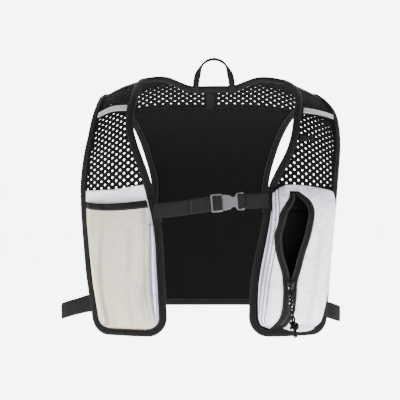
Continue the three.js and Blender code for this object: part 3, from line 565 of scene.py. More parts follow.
# Polyester spacer net, warp-knitted and dyed black: matt, with ribs of loops too fine to tell apart
# from two metres.
spacer_net, shader = finish_named("spacer_net_polyester_knitted")
cloth_at = own_place(shader)
ribs = {"Vector": cloth_at, "Scale": 2.749994, "Distortion": 1.2, "Detail": 1.0}
wale = add(shader, "TexWave", ribs, bands_direction="X").outputs["Fac"]
matt = {"Roughness": 0.9, "Specular IOR Level": 0.1}
two_tone(shader, wale, ("030303", "0d0d0d"), matt, [(wale, 0.5, 0.0004)])

# Plain-woven nylon, calendered black: close threads 0.35 mm apart, drawn at 0.8 mm, a low satin
# gloss and faint slack in the cloth.
black_cloth, shader = finish_named("black_nylon_plain_woven")
cloth_at = own_place(shader)
colours = {"Color1": linear("020202"), "Color2": linear("070707")}
threads = add(shader, "TexChecker", {"Vector": cloth_at, "Scale": 1 / 0.8, **colours})
waves = {"Vector": cloth_at, "Scale": 1 / 26, "Detail": 3.0, "Roughness": 0.55}
slack = add(shader, "TexNoise", waves).outputs["Fac"]
woven = relief(shader, [(slack, 0.6, 0.002), (threads.outputs["Fac"], 0.2, 0.0001)])
satin = {"Roughness": 0.75, "Specular IOR Level": 0.08}
wire(shader, {"Base Color": threads.outputs["Color"], **woven, **satin})

NET_PITCH_ACROSS = 11.6
NET_PITCH_DOWN = 4.85
NET_UNDER_BINDING = 2.5
HOLE_POINTS = 12
CELL = 12


def net_holes(low, high, radius, squareness):
    """Staggered holes over a rectangle of cloth: their middles and rings."""
    middles, rings = [], []
    row, down = 0, low[1]
    while down < high[1]:
        across = low[0] + (row % 2) * NET_PITCH_ACROSS / 2
        while across < high[0]:
            middles.append((across, down))
            ring = []
            for k in range(HOLE_POINTS):
                turn = 2 * math.pi * k / HOLE_POINTS
                c, s = math.cos(turn), math.sin(turn)
                reach = radius / (abs(c) ** squareness + abs(s) ** squareness) ** (1 / squareness)
                ring.append((across + reach * c, down + reach * s))
            rings.append(ring)
            across += NET_PITCH_ACROSS
        down += NET_PITCH_DOWN
        row += 1
    return middles, rings


def inside(outline, x, y):
    """Whether a point of the cloth lies inside a closed outline."""
    found = False
    for i, (x1, y1) in enumerate(outline):
        x0, y0 = outline[i - 1]
        if (y0 > y) != (y1 > y) and x < x0 + (x1 - x0) * (y - y0) / (y1 - y0):
            found = not found
    return found


def pierced(name, outline, holes, radius, sign, node):
    """A sheet of net: a flat cut with the holes that its outline takes in."""
    chosen = [(m, r) for m, r in holes if any(inside(outline, *p) for p in r)]
    cells = {}
    for (x, y), _ in chosen:
        cells.setdefault((round(x / CELL), round(y / CELL)), []).append((x, y))

    def is_hole(x, y, reach):
        i, j = round(x / CELL), round(y / CELL)
        near = (m for a in (-1, 0, 1) for b in (-1, 0, 1) for m in cells.get((i + a, j + b), ()))
        return any(math.hypot(x - m[0], y - m[1]) < radius * 0.86 * reach for m in near)

    flat, faces = cut_cloth(outline, 7.0, [r for _, r in chosen], is_hole)
    points = [on_body(sign * x, y, CLOTH_WALL / 2) for x, y in flat]
    made = piece(name, points, faces, spacer_net, "spacer_net", CLOTH_WALL, flat, node)
    declare_cloth(flat, faces)


def panel(front, top, bottom, steps=40):
    """Outline of a front's cloth between two heights, tucked under the binding at both sides."""
    downs = [top + (bottom - top) * i / steps for i in range(steps + 1)]
    sides = [span(front["under"], min(down, bottom)) for down in downs]
    inner = [(a, down) for (a, _), down in zip(sides, downs)]
    return inner + [(b, down) for (_, b), down in zip(sides, downs)][::-1]


NET_LOOKS = {
    "left": {"radius": 1.85, "squareness": 1.45},
    "right": {"radius": 1.65, "squareness": 2.0},
}
for side, front in fronts.items():
    sign, look = front["sign"], NET_LOOKS[side]
    front["outline"] = front_outline(front)
    front["under"] = offset(front["outline"], BINDING_WIDTH - NET_UNDER_BINDING)
    holes = zip(*net_holes((60, CAP_LENGTH + 5), (200, NET_BOTTOM), **look))
    net_outline = panel(front, CAP_LENGTH, NET_BOTTOM)
    pierced(f"net_{side}", net_outline, holes, look["radius"], sign, f"chest_net_{side}")
    lining_outline = panel(front, NET_BOTTOM - 2, FRONT_LENGTH - BINDING_WIDTH + 0.5)
    for name, outline, spacing, out, node in (
        ("cap", panel(front, 0.2, CAP_LENGTH, 6), 4.0, CLOTH_WALL / 2 + 0.3, "shoulder_cap"),
        ("lining", lining_outline, 6.0, CLOTH_WALL / 2, "front_lining"),
    ):
        cloth_piece(
            f"{name}_{side}",
            outline,
            spacing,
            lambda x, y, out=out, sign=sign: on_body(sign * x, y, out),
            black_cloth,
            "black_cloth",
            CLOTH_WALL,
            f"{node}_{side}",
        )

# --- Bindings of the front panels -----------------------------------------------------------
# Ribbed polyester tape, folded over the raw edge of net, cloth and pocket together, and held by a
# row of lock stitch near its inner edge. The same tape goes round the neck and the back.

SKIN_WALL = 1
TAPE_WALL = 1.1
CLEARANCE = 0.3
ON_CLOTH = CLOTH_WALL + 2 * CLEARANCE
BINDING_LOW = -1.2
BINDING_HIGH = ON_CLOTH + 2 * (SKIN_WALL + CLEARANCE)
ON_BINDING = BINDING_HIGH + CLEARANCE
STITCH_PITCH = 3.6
STITCH_LENGTH = 2.5
STITCH_WIDTH = 0.55
SEAM_IN = 8.6
SEAM_FACE = 4.45
SEAM_BACK = -1.25

# Polyester binding tape, woven with fine ribs along its length and dyed black: matt, a little
# lighter where the ribs catch the light.
binding_tape, shader = finish_named("binding_tape_polyester_woven")
cloth_at = own_place(shader)
weft = {"Vector": cloth_at, "Scale": 1.05, "Distortion": 0.5}
ribs = add(shader, "TexWave", weft, bands_direction="X").outputs["Fac"]
matt = {"Roughness": 0.85, "Specular IOR Level": 0.15}
two_tone(shader, ribs, ("040404", "101010"), matt, [(ribs, 0.5, 0.0005)])

# Bonded polyester sewing thread, black: smooth, with a faint gloss on each stitch.
thread, shader = finish_named("sewing_thread_polyester_bonded")
grain = add(shader, "TexNoise", {"Scale": 900.0}).outputs["Fac"]
two_tone(shader, grain, ("121212", "242425"), {"Roughness": 0.5})

# The folded tape from its inner edge behind, round the cloth's edge: how far inside, and out.
BINDING_SECTION = [
    (BINDING_WIDTH, 0.5),
    (BINDING_WIDTH - 1, -0.9),
    (6, -1.2),
    (2, -1.1),
    (0.5, -0.2),
    (0, 1.7),
    (0.6, 3.6),
    (2.2, 4.6),
    (5.5, 4.8),
    (BINDING_WIDTH - 2.2, 4.4),
    (BINDING_WIDTH - 0.5, 3.3),
]


def edging(name, outline, sign, node):
    """A binding tape folded over an edge of the cloth."""
    lines = [offset(outline, inside_by) for inside_by, _ in BINDING_SECTION]
    points, cloth = [], []
    run = 0.0
    for i in range(len(outline)):
        if i:
            run += math.dist(outline[i], outline[i - 1])
        for k, (_, out) in enumerate(BINDING_SECTION):
            x, y = lines[k][i]
            points.append(on_body(sign * x, y, out))
            cloth.append((k * 2.0, run))
    faces = hull(len(outline), len(BINDING_SECTION))
    piece(name, points, faces, binding_tape, "binding_tape", 0, cloth, node)


def walk(line, pitch):
    """Steps at an even pitch along a line: the point each follows, its distance past that point
    and the distance between that point and the next."""
    past = pitch / 2
    for i in range(len(line) - 1):
        length = math.dist(line[i], line[i + 1])
        while past < length:
            yield i, past, length
            past += pitch
        past -= length


def stitch(at, along, above, length, width, high=0.35):
    """One stitch, in millimetres: a low ridge that dips into the cloth at both ends."""
    up = (above - at).normalized()
    side = along.cross(up).normalized()
    points, faces = [], []
    for share, rise in ((-0.5, -0.2), (-0.3, 0.8), (0, 1), (0.3, 0.8), (0.5, -0.2)):
        middle = at + along * length * MM * share
        foot = up * high * MM * 0.3
        points += [
            middle - side * width * MM / 2 - foot,
            middle + up * high * MM * rise,
            middle + side * width * MM / 2 - foot,
        ]
    for i in range(4):
        a = 3 * i
        faces += [(a, a + 1, a + 4, a + 3), (a + 1, a + 2, a + 5, a + 4), (a + 2, a, a + 3, a + 5)]
    return points, faces + [(0, 2, 1), (12, 13, 14)]


def seam(name, lines, pitch=STITCH_PITCH):
    """Rows of stitches along lines, each an outline in cloth measure, its sign and its out."""
    parts = []
    for outline, sign, out in lines:
        for i, past, length in walk(outline, pitch):
            (x0, y0), (x1, y1) = outline[i : i + 2]
            dx, dy = (x1 - x0) / length, (y1 - y0) / length
            x, y = x0 + dx * past, y0 + dy * past
            at = on_body(sign * x, y, out)
            along = (on_body(sign * (x + dx), y + dy, out) - at).normalized()
            above = on_body(sign * x, y, out + 1)
            parts.append(stitch(at, along, above, STITCH_LENGTH, STITCH_WIDTH))
    piece(name, *joined(parts), thread, "binding_tape")


for side, front in fronts.items():
    sign = front["sign"]
    edging(f"binding_{side}", front["outline"], sign, f"front_binding_{side}")
    seam(f"binding_stitches_{side}", [(offset(front["outline"], SEAM_IN), sign, SEAM_FACE)])

# --- Back panel, yoke and their bindings ----------------------------------------------------
# The back is one piece of plain black cloth below a yoke of the same net as the chest, with a tape
# sewn down its middle. The armholes and the hem are bound in one run, the neck in another.

YOKE_LENGTH = 76
NECK_DEPTH = 37
BACK_CORNER = 24
CENTRE_TAPE = 12
# The back's side edge, up and across, and the neck's scoop, across and deep.
BACK_SIDE = [(0, 0.865), (0.13, 0.775), (0.24, 0.65), (0.32, 0.575), (0.4, 0.52), (0.5, 0.468)]
BACK_SIDE += [(0.58, 0.462), (0.7, 0.5), (0.84, 0.575), (1, 0.61)]
NECK_SCOOP = [(0, 1), (0.34, 0.97), (0.5, 0.7), (0.7, 0.28), (0.88, 0.08), (1, 0)]


def back_edge(down):
    return read(BACK_SIDE, -down / BACK_LENGTH) * HALF_CHEST


def neck_half(sign):
    return edge_at(fronts["left" if sign < 0 else "right"], "inner", 0)


def neck_down(across):
    return -NECK_DEPTH * read(NECK_SCOOP, min(abs(across) / neck_half(across), 1))


neck_outline = []
for i in range(-30, 31):
    share = math.sin(i / 30 * math.pi / 2)
    neck_outline.append((share * neck_half(i), -NECK_DEPTH * read(NECK_SCOOP, abs(share))))
back_outline = []
for i in range(60):
    down = -i / 60 * (BACK_LENGTH - BACK_CORNER)
    back_outline.append((back_edge(down), down))
for i in range(13):
    turn = i / 12 * math.pi / 2
    down = -BACK_LENGTH + BACK_CORNER * (1 - math.sin(turn))
    back_outline.append((back_edge(down) - BACK_CORNER * (1 - math.cos(turn)), down))
foot_x, foot_y = back_outline[-1]
back_outline += [(foot_x * (1 - i / 10), foot_y) for i in range(1, 11)]
back_outline += [(-x, y) for x, y in back_outline[-2::-1]]
bound = {"neck": neck_outline, "back": back_outline}
for name, outline in bound.items():
    edging(f"{name}_edge", outline, 1, f"{name}_binding")
for name in ("back", "neck"):
    line = offset(bound[name], SEAM_IN)
    seam(f"{name}_stitches", [(line, 1, SEAM_FACE), (line, 1, SEAM_BACK)])

neck_under, back_under = (
    offset(outline, BINDING_WIDTH - NET_UNDER_BINDING) for outline in bound.values()
)


def level(start, end, spacing=6):
    """Points on the straight line between two others, so that it can follow the body's curve."""
    (x0, y0), (x1, y1) = start, end
    steps = max(1, round(abs(x1 - x0) / spacing))
    return [(x0 + (x1 - x0) * i / steps, y0 + (y1 - y0) * i / steps) for i in range(1, steps)]


def back_cut(top, bottom, steps):
    """Outline of the back's cloth between two heights, tucked under its binding."""
    lowest = min(y for _, y in back_under) + 0.01
    downs = [top + (bottom - top) * i / steps for i in range(steps + 1)]
    right = [(span(back_under, max(down, lowest))[1], down) for down in downs]
    left = [(-x, y) for x, y in right[::-1]]
    return right + level(right[-1], left[0]) + left


yoke_outline = back_cut(-1.2, -YOKE_LENGTH, 20) + [(x, y) for x, y in neck_under if y < -1.3]
BACK_HOLE = 1.5
yoke_holes = zip(*net_holes((-150, -YOKE_LENGTH + 5), (150, -5), BACK_HOLE, 1.8))
beside = [(m, r) for m, r in yoke_holes if abs(m[0]) > CENTRE_TAPE / 2 + BACK_HOLE]
pierced("yoke_net", yoke_outline, beside, BACK_HOLE, 1, "back_yoke")


def grid(columns, rows, at):
    """Points and four-sided faces of a grid; at gives a point from its two shares."""
    points = [at(i / columns, j / rows) for j in range(rows + 1) for i in range(columns + 1)]
    n = columns + 1
    faces = [
        (j * n + i, j * n + i + 1, (j + 1) * n + i + 1, (j + 1) * n + i)
        for j in range(rows)
        for i in range(columns)
    ]
    return points, faces


def patch(name, x_range, y_range, out, wall, finish, node=None, spacing=5.0, sign=1):
    """A four-sided piece of cloth. The ranges are functions of the other share."""
    columns, rows = (
        max(2, round(abs(high - low) / spacing)) for low, high in (x_range(0.5), y_range(0.5))
    )

    def at(u, v):
        (left, right), (top, bottom) = x_range(v), y_range(u)
        return left * (1 - u) + right * u, top * (1 - v) + bottom * v

    flat, faces = grid(columns, rows, at)
    places = [on_body(sign * x, y, out + wall / 2) for x, y in flat]
    piece(name, places, faces, *finish, wall, flat, node)


patch(
    "centre_tape",
    lambda v: (-CENTRE_TAPE / 2, CENTRE_TAPE / 2),
    lambda u: (-NECK_DEPTH - BINDING_WIDTH + 1, -YOKE_LENGTH - 4),
    -0.9,
    0.8,
    (binding_tape, "binding_tape"),
)
cloth_outline = back_cut(-YOKE_LENGTH, min(y for _, y in back_under) + 0.5, 48)
cloth_outline += level(cloth_outline[-1], cloth_outline[0])
cloth_piece(
    "back_cloth",
    cloth_outline,
    6.5,
    lambda x, y: on_body(x, y, CLOTH_WALL / 2),
    black_cloth,
    "black_cloth",
    CLOTH_WALL,
    "back_panel",
)
yoke_seam = [(x, -YOKE_LENGTH - 2) for x in range(-105, 106, 3)]
seam("yoke_stitches", [(yoke_seam, 1, -0.1), (yoke_seam, 1, 1.7)])

# --- Reflective bands and tube tab ----------------------------------------------------------
# A strip of glass-bead reflective tape sewn on a black tape across each chest net, and on the right
# a short webbing loop that keeps a drinking tube.

BAND_WIDTH = 16
STRIP_WIDTH = 10.5
TUBE_TAB_LENGTH = 22
TUBE_TAB_WIDTH = 9
WEBBING_WALL = 1.6
BANDS = {
    "left": [(0, 0.205), (0.5, 0.188), (1, 0.19)],
    "right": [(0, 0.205), (0.4, 0.189), (1, 0.163)],
}
TUBE_TAB_PATH = [(0, 0.328), (1, 0.315)]
TUBE_TAB_DOWN = 0.32
TAB_ROW_DOWN = 0.3165

# Retro-reflective tape, glass beads on a silver-grey polyester backing: an even satin grey with a
# fine honeycomb of bonds.
reflective_tape, shader = finish_named("reflective_tape_glass_beads")
cloth_at = own_place(shader)
beads = add(shader, "TexVoronoi", {"Vector": cloth_at, "Scale": 1.3}).outputs["Distance"]
satin = {"Roughness": 0.38, "Metallic": 0.2}
two_tone(shader, beads, ("858587", "9d9d9f"), satin, [(beads, 0.25, 0.0002)])

# Nylon webbing, woven and dyed black: ribs about half a millimetre apart both ways, and matt.
webbing, shader = finish_named("webbing_nylon_woven")
cloth_at = own_place(shader)
ribs = []
for scale, distortion, direction in ((0.55, 0.6, "Y"), (0.8, 0.4, "X")):
    rib = {"Vector": cloth_at, "Scale": scale, "Distortion": distortion}
    ribs.append(add(shader, "TexWave", rib, bands_direction=direction).outputs["Fac"])
weave = add(shader, "Math", dict(enumerate(ribs)), operation="ADD").outputs["Value"]
matt = {"Roughness": 0.95, "Specular IOR Level": 0.03}
two_tone(shader, weave, ("0d0d0d", "202020"), matt, [(weave, 0.5, 0.0005)])

SEAM_INSIDE = BINDING_WIDTH + 2 * CLEARANCE
shiny = (reflective_tape, "reflective_tape")
for side, front in fronts.items():
    front["seam_line"] = offset(front["outline"], SEAM_INSIDE)
    path = BANDS[side]
    for name, width, out, wall, finish in (
        ("band", BAND_WIDTH, ON_CLOTH, TAPE_WALL, (black_cloth, "black_cloth")),
        ("strip", STRIP_WIDTH, ON_CLOTH + TAPE_WALL + 0.3, 0.5, shiny),
    ):
        patch(
            f"reflective_{name}_of_{side}",
            lambda v: span(front["seam_line"], read(path, 0.5) * FRONT_LENGTH + (v - 0.5) * width),
            lambda u: tuple(read(path, u) * FRONT_LENGTH + s * width / 2 for s in (-1, 1)),
            out,
            wall,
            finish,
            f"reflective_{name}_{side}",
            3.5,
            front["sign"],
        )
    low_x, high_x = span(front["seam_line"], read(path, 0.5) * FRONT_LENGTH)
    rows = []
    for shift in (-STRIP_WIDTH / 2 - 1.4, STRIP_WIDTH / 2 + 1.4):
        shares = [i / 20 for i in range(21)]
        row = [(low_x + (high_x - low_x) * s, read(path, s) * FRONT_LENGTH + shift) for s in shares]
        rows.append((row, front["sign"], ON_CLOTH + TAPE_WALL + 0.05))
    seam(f"band_stitches_{side}", rows)

tab_start = span(fronts["right"]["seam_line"], TUBE_TAB_DOWN * FRONT_LENGTH)[0]
patch(
    "tube_tab_webbing",
    lambda v: (tab_start, tab_start + TUBE_TAB_LENGTH),
    lambda u: tuple(
        read(TUBE_TAB_PATH, u) * FRONT_LENGTH + s * TUBE_TAB_WIDTH / 2 for s in (-1, 1)
    ),
    ON_CLOTH,
    WEBBING_WALL,
    (webbing, "webbing"),
    "tube_tab",
    2.2,
)
tab_row = [
    (
        tab_start + TUBE_TAB_LENGTH - 3,
        TAB_ROW_DOWN * FRONT_LENGTH + TUBE_TAB_WIDTH * (i / 4 - 0.5) * 0.8,
    )
    for i in range(5)
]
seam("tube_tab_stitches", [(tab_row, 1, ON_CLOTH + WEBBING_WALL + 0.05)], 2.6)

# --- Pockets --------------------------------------------------------------------------------
# White ripstop nylon with pleated gussets down the inner sides. The left pocket has a front of fine
# white net with a bound rim; the right one is closed by a coil zip sewn in a slit, half open.

POCKET_DEPTH = 22
PLEAT_DEPTH = 3
NET_POCKET_TOP = 223
RIM_SAG = 4
RIM_WIDTH = 10
POCKET_FOOT = FRONT_LENGTH - SEAM_INSIDE
PATCH_START = 0.52
PATCH_EDGE = [(0.3, 0.495), (0.45, 0.498), (0.7, 0.512), (1, 0.51)]
ZIP_POCKET_TOP = [(0, 0.53), (0.08, 0.512), (0.2, 0.5), (0.5, 0.502), (1, 0.522)]
PLEATS = [(0, 0), (0.18, 0), (0.36, 1), (0.6, 0.15), (0.82, 0.9), (1, 0)]
# rise is the front's height down the pocket. section is its share round, across and height.
pockets = {
    "left": {
        "base": ON_CLOTH + SKIN_WALL + CLEARANCE + SKIN_WALL / 2,
        "lap": 6,
        "lean": 7,
        "slack": 3.8,
        "top": lambda u: NET_POCKET_TOP + RIM_WIDTH + RIM_SAG * math.sin(math.pi * u),
        "rise": [(0, 0.62), (0.12, 0.85), (0.35, 1), (0.75, 0.93), (0.92, 0.5), (1, 0)],
        "section": [(0, 0, 1), (0.2, 0.2, 1.02), (0.5, 0.52, 0.88), (0.8, 0.85, 0.5), (1, 0.99, 0)],
    },
    "right": {
        "base": ON_CLOTH + SKIN_WALL / 2,
        "lap": 8,
        "lean": 2.5,
        "slack": 1.6,
        "top": lambda u: read(ZIP_POCKET_TOP, u) * FRONT_LENGTH,
        "rise": [(0, 0), (0.06, 0.5), (0.16, 0.9), (0.35, 1), (0.7, 0.97), (0.88, 0.6), (1, 0)],
        "section": [(0, 0, 1), (0.3, 0.35, 1.03), (0.6, 0.76, 0.95), (0.8, 0.97, 0.68)]
        + [(0.92, 1.05, 0.4), (0.97, 1.04, 0.24), (1, 1, 0.1)],
    },
}
EDGE_DROP = 7


def pocket_row(front, pocket, down):
    """Where a pocket's front starts and ends across the panel, and its height, at one down."""
    a, b = span(front["seam_line"], min(down, POCKET_FOOT - 0.01))
    top = pocket["top"](0.5)
    share = min(max((down - top) / (POCKET_FOOT - top), 0), 1)
    lift = read(pocket["rise"], share)
    lap = pocket["lap"] * max(0, 1 - share / 0.6) ** 1.5
    return a, a + pocket["lean"] * lift - lap, b, lift


def creases(pocket, beside, down, lift):
    """How the slack cloth lies: it rolls over its inner edge, with long folds down the pocket and
    fainter ones across. beside is measured from that edge."""
    long_folds = noise.noise(Vector((beside / 13, down / 80, 5.7)))
    short_folds = noise.noise(Vector(((beside + down) / 17, (beside - down) / 28, 1.9)))
    sharp = abs(noise.noise(Vector((beside / 22 + down / 90, down / 60, 4.4))))
    rolled = -EDGE_DROP * math.exp(-max(beside, 0) / 5)
    return lift * (pocket["slack"] * (long_folds - 1.2 * sharp) + 0.8 * short_folds + rolled)


def on_pocket(front, pocket, across, down, proud):
    """A point of a pocket's front at its place across, as seen from the front."""
    _, start, end, lift = pocket_row(front, pocket, down)
    height = read(pocket["section"], (across - start) / (end - start), 2, 1)
    out = pocket["base"] + POCKET_DEPTH * lift * height + proud
    return on_body(front["sign"] * across, down, out + creases(pocket, across - start, down, lift))


def round_pocket(front, pocket, u, down, proud=0.0):
    """A point of a pocket's front at its share of the way round, with its place across."""
    _, start, end, lift = pocket_row(front, pocket, down)
    share = read(pocket["section"], u, 1)
    share -= max(share - 1, 0) * (1 - lift * lift)
    across = start + (end - start) * share
    out = pocket["base"] + POCKET_DEPTH * lift * read(pocket["section"], u, 2)
    out += proud + creases(pocket, across - start, down, lift)
    return on_body(front["sign"] * across, down, out), across


def shade(made, amounts):
    """Keeps how much painted shade darkens each point of a piece in the folds, for its colour."""
    kept = made.data.attributes.new("fold", "FLOAT", "POINT")
    for item, amount in zip(kept.data, amounts):
        item.value = min(max(amount, 0), 1)


def slack_shade(beside, down):
    """Painted shade of the long folds: soft grey bands down the cloth."""
    band = noise.noise(Vector((beside / 12 + 0.4 * math.sin(down / 35), down / 95, 4.4)))
    return 0.7 * max(0, band - 0.06)


# The shade of the two folds pressed beside a pocket's inner edge, over FOLD_REACH millimetres.
FOLD_REACH = 20
FOLD_LINES = [(0, 0.5), (0.11, 0.35), (0.14, 1.0), (0.19, 1.0), (0.22, 0.15), (0.3, 0.12)]
FOLD_LINES += [(0.33, 1.0), (0.38, 1.0), (0.42, 0.2), (0.7, 0.07), (1, 0)]

# Ripstop nylon, plain-woven white with a thicker thread each 5 mm both ways: cool white, a soft
# gloss, and fine creases pressed in by folding. Painted shade darkens it towards grey-lilac in the
# folds and along the two fold lines beside a pocket's inner edge.
white_ripstop, shader = finish_named("white_ripstop_nylon_woven")
cloth_at = own_place(shader)
painted_fold_shade = add(shader, "Attribute", attribute_name="fold").outputs["Fac"]
squares = {
    "Vector": cloth_at,
    "Scale": 0.2,
    "Color1": linear("e1e1ec"),
    "Color2": linear("dedeea"),
    "Mortar": linear("d6d6e2"),
    "Mortar Size": 0.035,
    "Mortar Smooth": 0.6,
    "Brick Width": 1.0,
    "Row Height": 1.0,
}
ripstop = add(shader, "TexBrick", squares, offset=0.0)
beside_edge = add(shader, "SeparateXYZ", {"Vector": cloth_at}).outputs["Z"]
reach = add(shader, "Math", {0: beside_edge, 1: 1 / FOLD_REACH}, operation="MULTIPLY").outputs[0]
stops = [(at, (amount, amount, amount, 1)) for at, amount in FOLD_LINES]
fold_lines = add(shader, "ValToRGB", {"Fac": reach}, stops).outputs["Color"]
wrinkles = {"Vector": cloth_at, "Scale": 0.045, "Detail": 4.0, "Distortion": 1.4}
press = add(shader, "TexNoise", wrinkles).outputs["Fac"]
layers = [(press, 0.7, 0.006), (ripstop.outputs["Fac"], 0.25, 0.0002), (fold_lines, 0.5, -0.001)]
# Painted shade: the fold attribute and the fold lines darken the colour towards grey-lilac.
painted_shade_amount = add(shader, "Math", {0: painted_fold_shade, 1: fold_lines}, operation="ADD", use_clamp=True)
tones = {0: painted_shade_amount.outputs[0], 6: ripstop.outputs["Color"], 7: linear("66667a")}
shaded = add(shader, "Mix", tones, data_type="RGBA").outputs[2]
wire(shader, {"Base Color": shaded, "Roughness": 0.5, **relief(shader, layers)})

# Fine polyester net, warp-knitted and left cream white: thin round strands, matt. Painted shade
# darkens the strands towards grey in the folds.
white_net, shader = finish_named("white_net_polyester_knitted")
place_at = add(shader, "TexCoord").outputs["Object"]
dye = add(shader, "TexNoise", {"Vector": place_at, "Scale": 26.0, "Detail": 2.0}).outputs["Fac"]
cream = add(shader, "ValToRGB", {"Fac": dye}, [(0, linear("f3e2ae")), (1, linear("faf0cc"))])
painted_fold_shade = add(shader, "Attribute", attribute_name="fold").outputs["Fac"]
tones = {0: painted_fold_shade, 6: cream.outputs["Color"], 7: linear("807a62")}
shaded = add(shader, "Mix", tones, data_type="RGBA").outputs[2]
wire(shader, {"Base Color": shaded, "Roughness": 0.7})

GUSSET_START = 1
GUSSET_END = 0.55
for side, pocket in pockets.items():
    front = fronts[side]
    start = pocket["top"](0) + GUSSET_START * POCKET_DEPTH
    foot = POCKET_FOOT - GUSSET_END * POCKET_DEPTH

    def gusset_at(u, v):
        down = start + (foot - start) * v
        a, from_x, _, lift = pocket_row(front, pocket, down)
        top = (POCKET_DEPTH - EDGE_DROP) * lift - SKIN_WALL / 2 - 2 * CLEARANCE
        fold = PLEAT_DEPTH * lift * lift * read(PLEATS, u)
        across = a + (from_x - a) * u + SKIN_WALL - fold
        return on_body(front["sign"] * across, down, pocket["base"] + top * u)

    cloth = [(i / 16 * 30, j * 4.0, 1.5 + i / 16 * 6.5) for j in range(31) for i in range(17)]
    made, node = grid(16, 30, gusset_at), f"pocket_gusset_{side}"
    piece(f"gusset_{side}", *made, white_ripstop, "white_ripstop", 0.8, cloth, node)

left, net_pocket = fronts["left"], pockets["left"]
patch_outline = [p for p in left["under"] if p[1] > PATCH_START * FRONT_LENGTH]
first, last = patch_outline[0][0], patch_outline[-1][0]
for i in range(13):
    x = last + (first - last) * i / 12
    patch_outline.append((x, read(PATCH_EDGE, x / HALF_CHEST) * FRONT_LENGTH))
pocket_back, flat = cloth_piece(
    "pocket_back",
    patch_outline,
    6.0,
    lambda x, y: on_body(-x, y, ON_CLOTH + SKIN_WALL / 2),
    white_ripstop,
    "white_ripstop",
    SKIN_WALL,
    "white_patch",
)
# Painted shadow inside the net pocket: the patch is darker below the rim.
shade(pocket_back, [0.6 if down > NET_POCKET_TOP + 6 else 0 for _, down in flat])

NET_STRAND = 0.7
NET_COLUMNS = 30
NET_ROWS = 102
points, starts, flat, net_shade = [], [], [], []
for j in range(NET_ROWS + 1):
    starts.append(len(points))
    for i in range(NET_COLUMNS + 1 - j % 2):
        u = (i + (j % 2) / 2) / NET_COLUMNS
        top = net_pocket["top"](u)
        down = top + (POCKET_FOOT + 2 - top) * j / NET_ROWS
        at, across = round_pocket(left, net_pocket, u, min(down, POCKET_FOOT))
        points.append(at if down <= POCKET_FOOT else on_body(-across, down, net_pocket["base"]))
        flat.append((across, down))
        beside = across - pocket_row(left, net_pocket, down)[1]
        # Painted shade of the long folds, and a painted dark line 4 to 6.5 mm beside the inner edge
        # where the cloth folds.
        net_shade.append(2.2 * slack_shade(beside, down) + (0.5 if 4 < beside < 6.5 else 0))
faces = []
for j in range(1, NET_ROWS):
    above, here, below = starts[j - 1 : j + 2]
    for i in range(j % 2, NET_COLUMNS):
        first = here + i - j % 2
        faces.append((above + i, first, below + i, first + 1))
net_front = piece("net_front", points, faces, white_net, "white_net")
shade(net_front, net_shade)
strands = net_front.modifiers.new("strands", "WIREFRAME")
strands.thickness = NET_STRAND * MM
strands.use_even_offset = False
width, length = extent(flat)
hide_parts("net_pocket")

RIM_SECTION = [(0, 0.9), (0.12, 1.7), (0.5, 2.1), (0.88, 1.7), (1, 0.9), (0.9, -0.6), (0.1, -0.6)]


def on_rim(u, v, proud):
    """A point of the rim's tape: u along it, v down it."""
    down = net_pocket["top"](u) + 1 - RIM_WIDTH * (1 - v)
    return round_pocket(left, net_pocket, u, down, proud)[0]


points = [on_rim(0.002 + i / 40 * 0.996, v, proud) for i in range(41) for v, proud in RIM_SECTION]
cloth = [(v * RIM_WIDTH, i * 2.4) for i in range(41) for v, _ in RIM_SECTION]
faces = hull(41, len(RIM_SECTION))
piece("pocket_rim_tape", points, faces, binding_tape, "binding_tape", 0, cloth, "pocket_rim")


def sewn(name, rows, pitch=STITCH_PITCH, width=STITCH_WIDTH):
    """Rows of stitches along lines in space. Each line has pairs: on the surface and above it."""
    parts = []
    for row in rows:
        for i, past, _ in walk([at for at, _ in row], pitch * MM):
            (at, above), (to, _) = row[i : i + 2]
            along = (to - at).normalized()
            shift = along * past
            parts.append(stitch(at + shift, along, above + shift, pitch * 0.7, width))
    piece(name, *joined(parts), thread, "binding_tape")


sewn("rim_stitches", [[(on_rim(i / 40, 0.82, 2.0), on_rim(i / 40, 0.82, 3.0)) for i in range(41)]])

# --- Zipped pocket --------------------------------------------------------------------------
# The white front has a long slit with a black coil zip sewn under its edges. The zip is open from
# the top to the slider; below it the closed chain bends down into the bottom binding.

# How far across the edges of the two zip tapes are, by the share of the front's length.
ZIP_EDGES = {"left": 1, "open_left": 2, "open_right": 3, "right": 4}
ZIP_LINE = [
    (0.522, 0.54, 0.5625, 0.5655, 0.6),
    (0.542, 0.53, 0.562, 0.598, 0.65),
    (0.562, 0.5, 0.543, 0.633, 0.678),
    (0.59, 0.463, 0.508, 0.645, 0.688),
    (0.625, 0.445, 0.487, 0.633, 0.677),
    (0.665, 0.425, 0.467, 0.612, 0.656),
    (0.72, 0.435, 0.477, 0.575, 0.62),
    (0.78, 0.468, 0.51, 0.545, 0.588),
    (0.82, 0.478, 0.5215, 0.5245, 0.568),
    (0.875, 0.482, 0.523, 0.526, 0.568),
    (0.915, 0.48, 0.523, 0.526, 0.568),
    (0.945, 0.462, 0.507, 0.51, 0.553),
    (0.965, 0.43, 0.478, 0.481, 0.528),
    (0.99, 0.375, 0.428, 0.431, 0.488),
]
ZIP_START = 0.522
SLIT_END = 0.965
TAPE_END = 0.985
SLIDER_DOWN = 335
ROUND = 100
HEM_LAP = 5.5
right, zip_pocket = fronts["right"], pockets["right"]


def zip_at(edge, share):
    return read(ZIP_LINE, share, ZIP_EDGES[edge]) * HALF_CHEST


def on_zip(across, down, proud):
    return on_pocket(right, zip_pocket, across, down, proud)


def way_round(across, down):
    """How far round the pocket's cross-section a point of its front is."""
    _, start, end, _ = pocket_row(right, zip_pocket, down)
    return read(zip_pocket["section"], (across - start) / (end - start), 0, 1) * ROUND


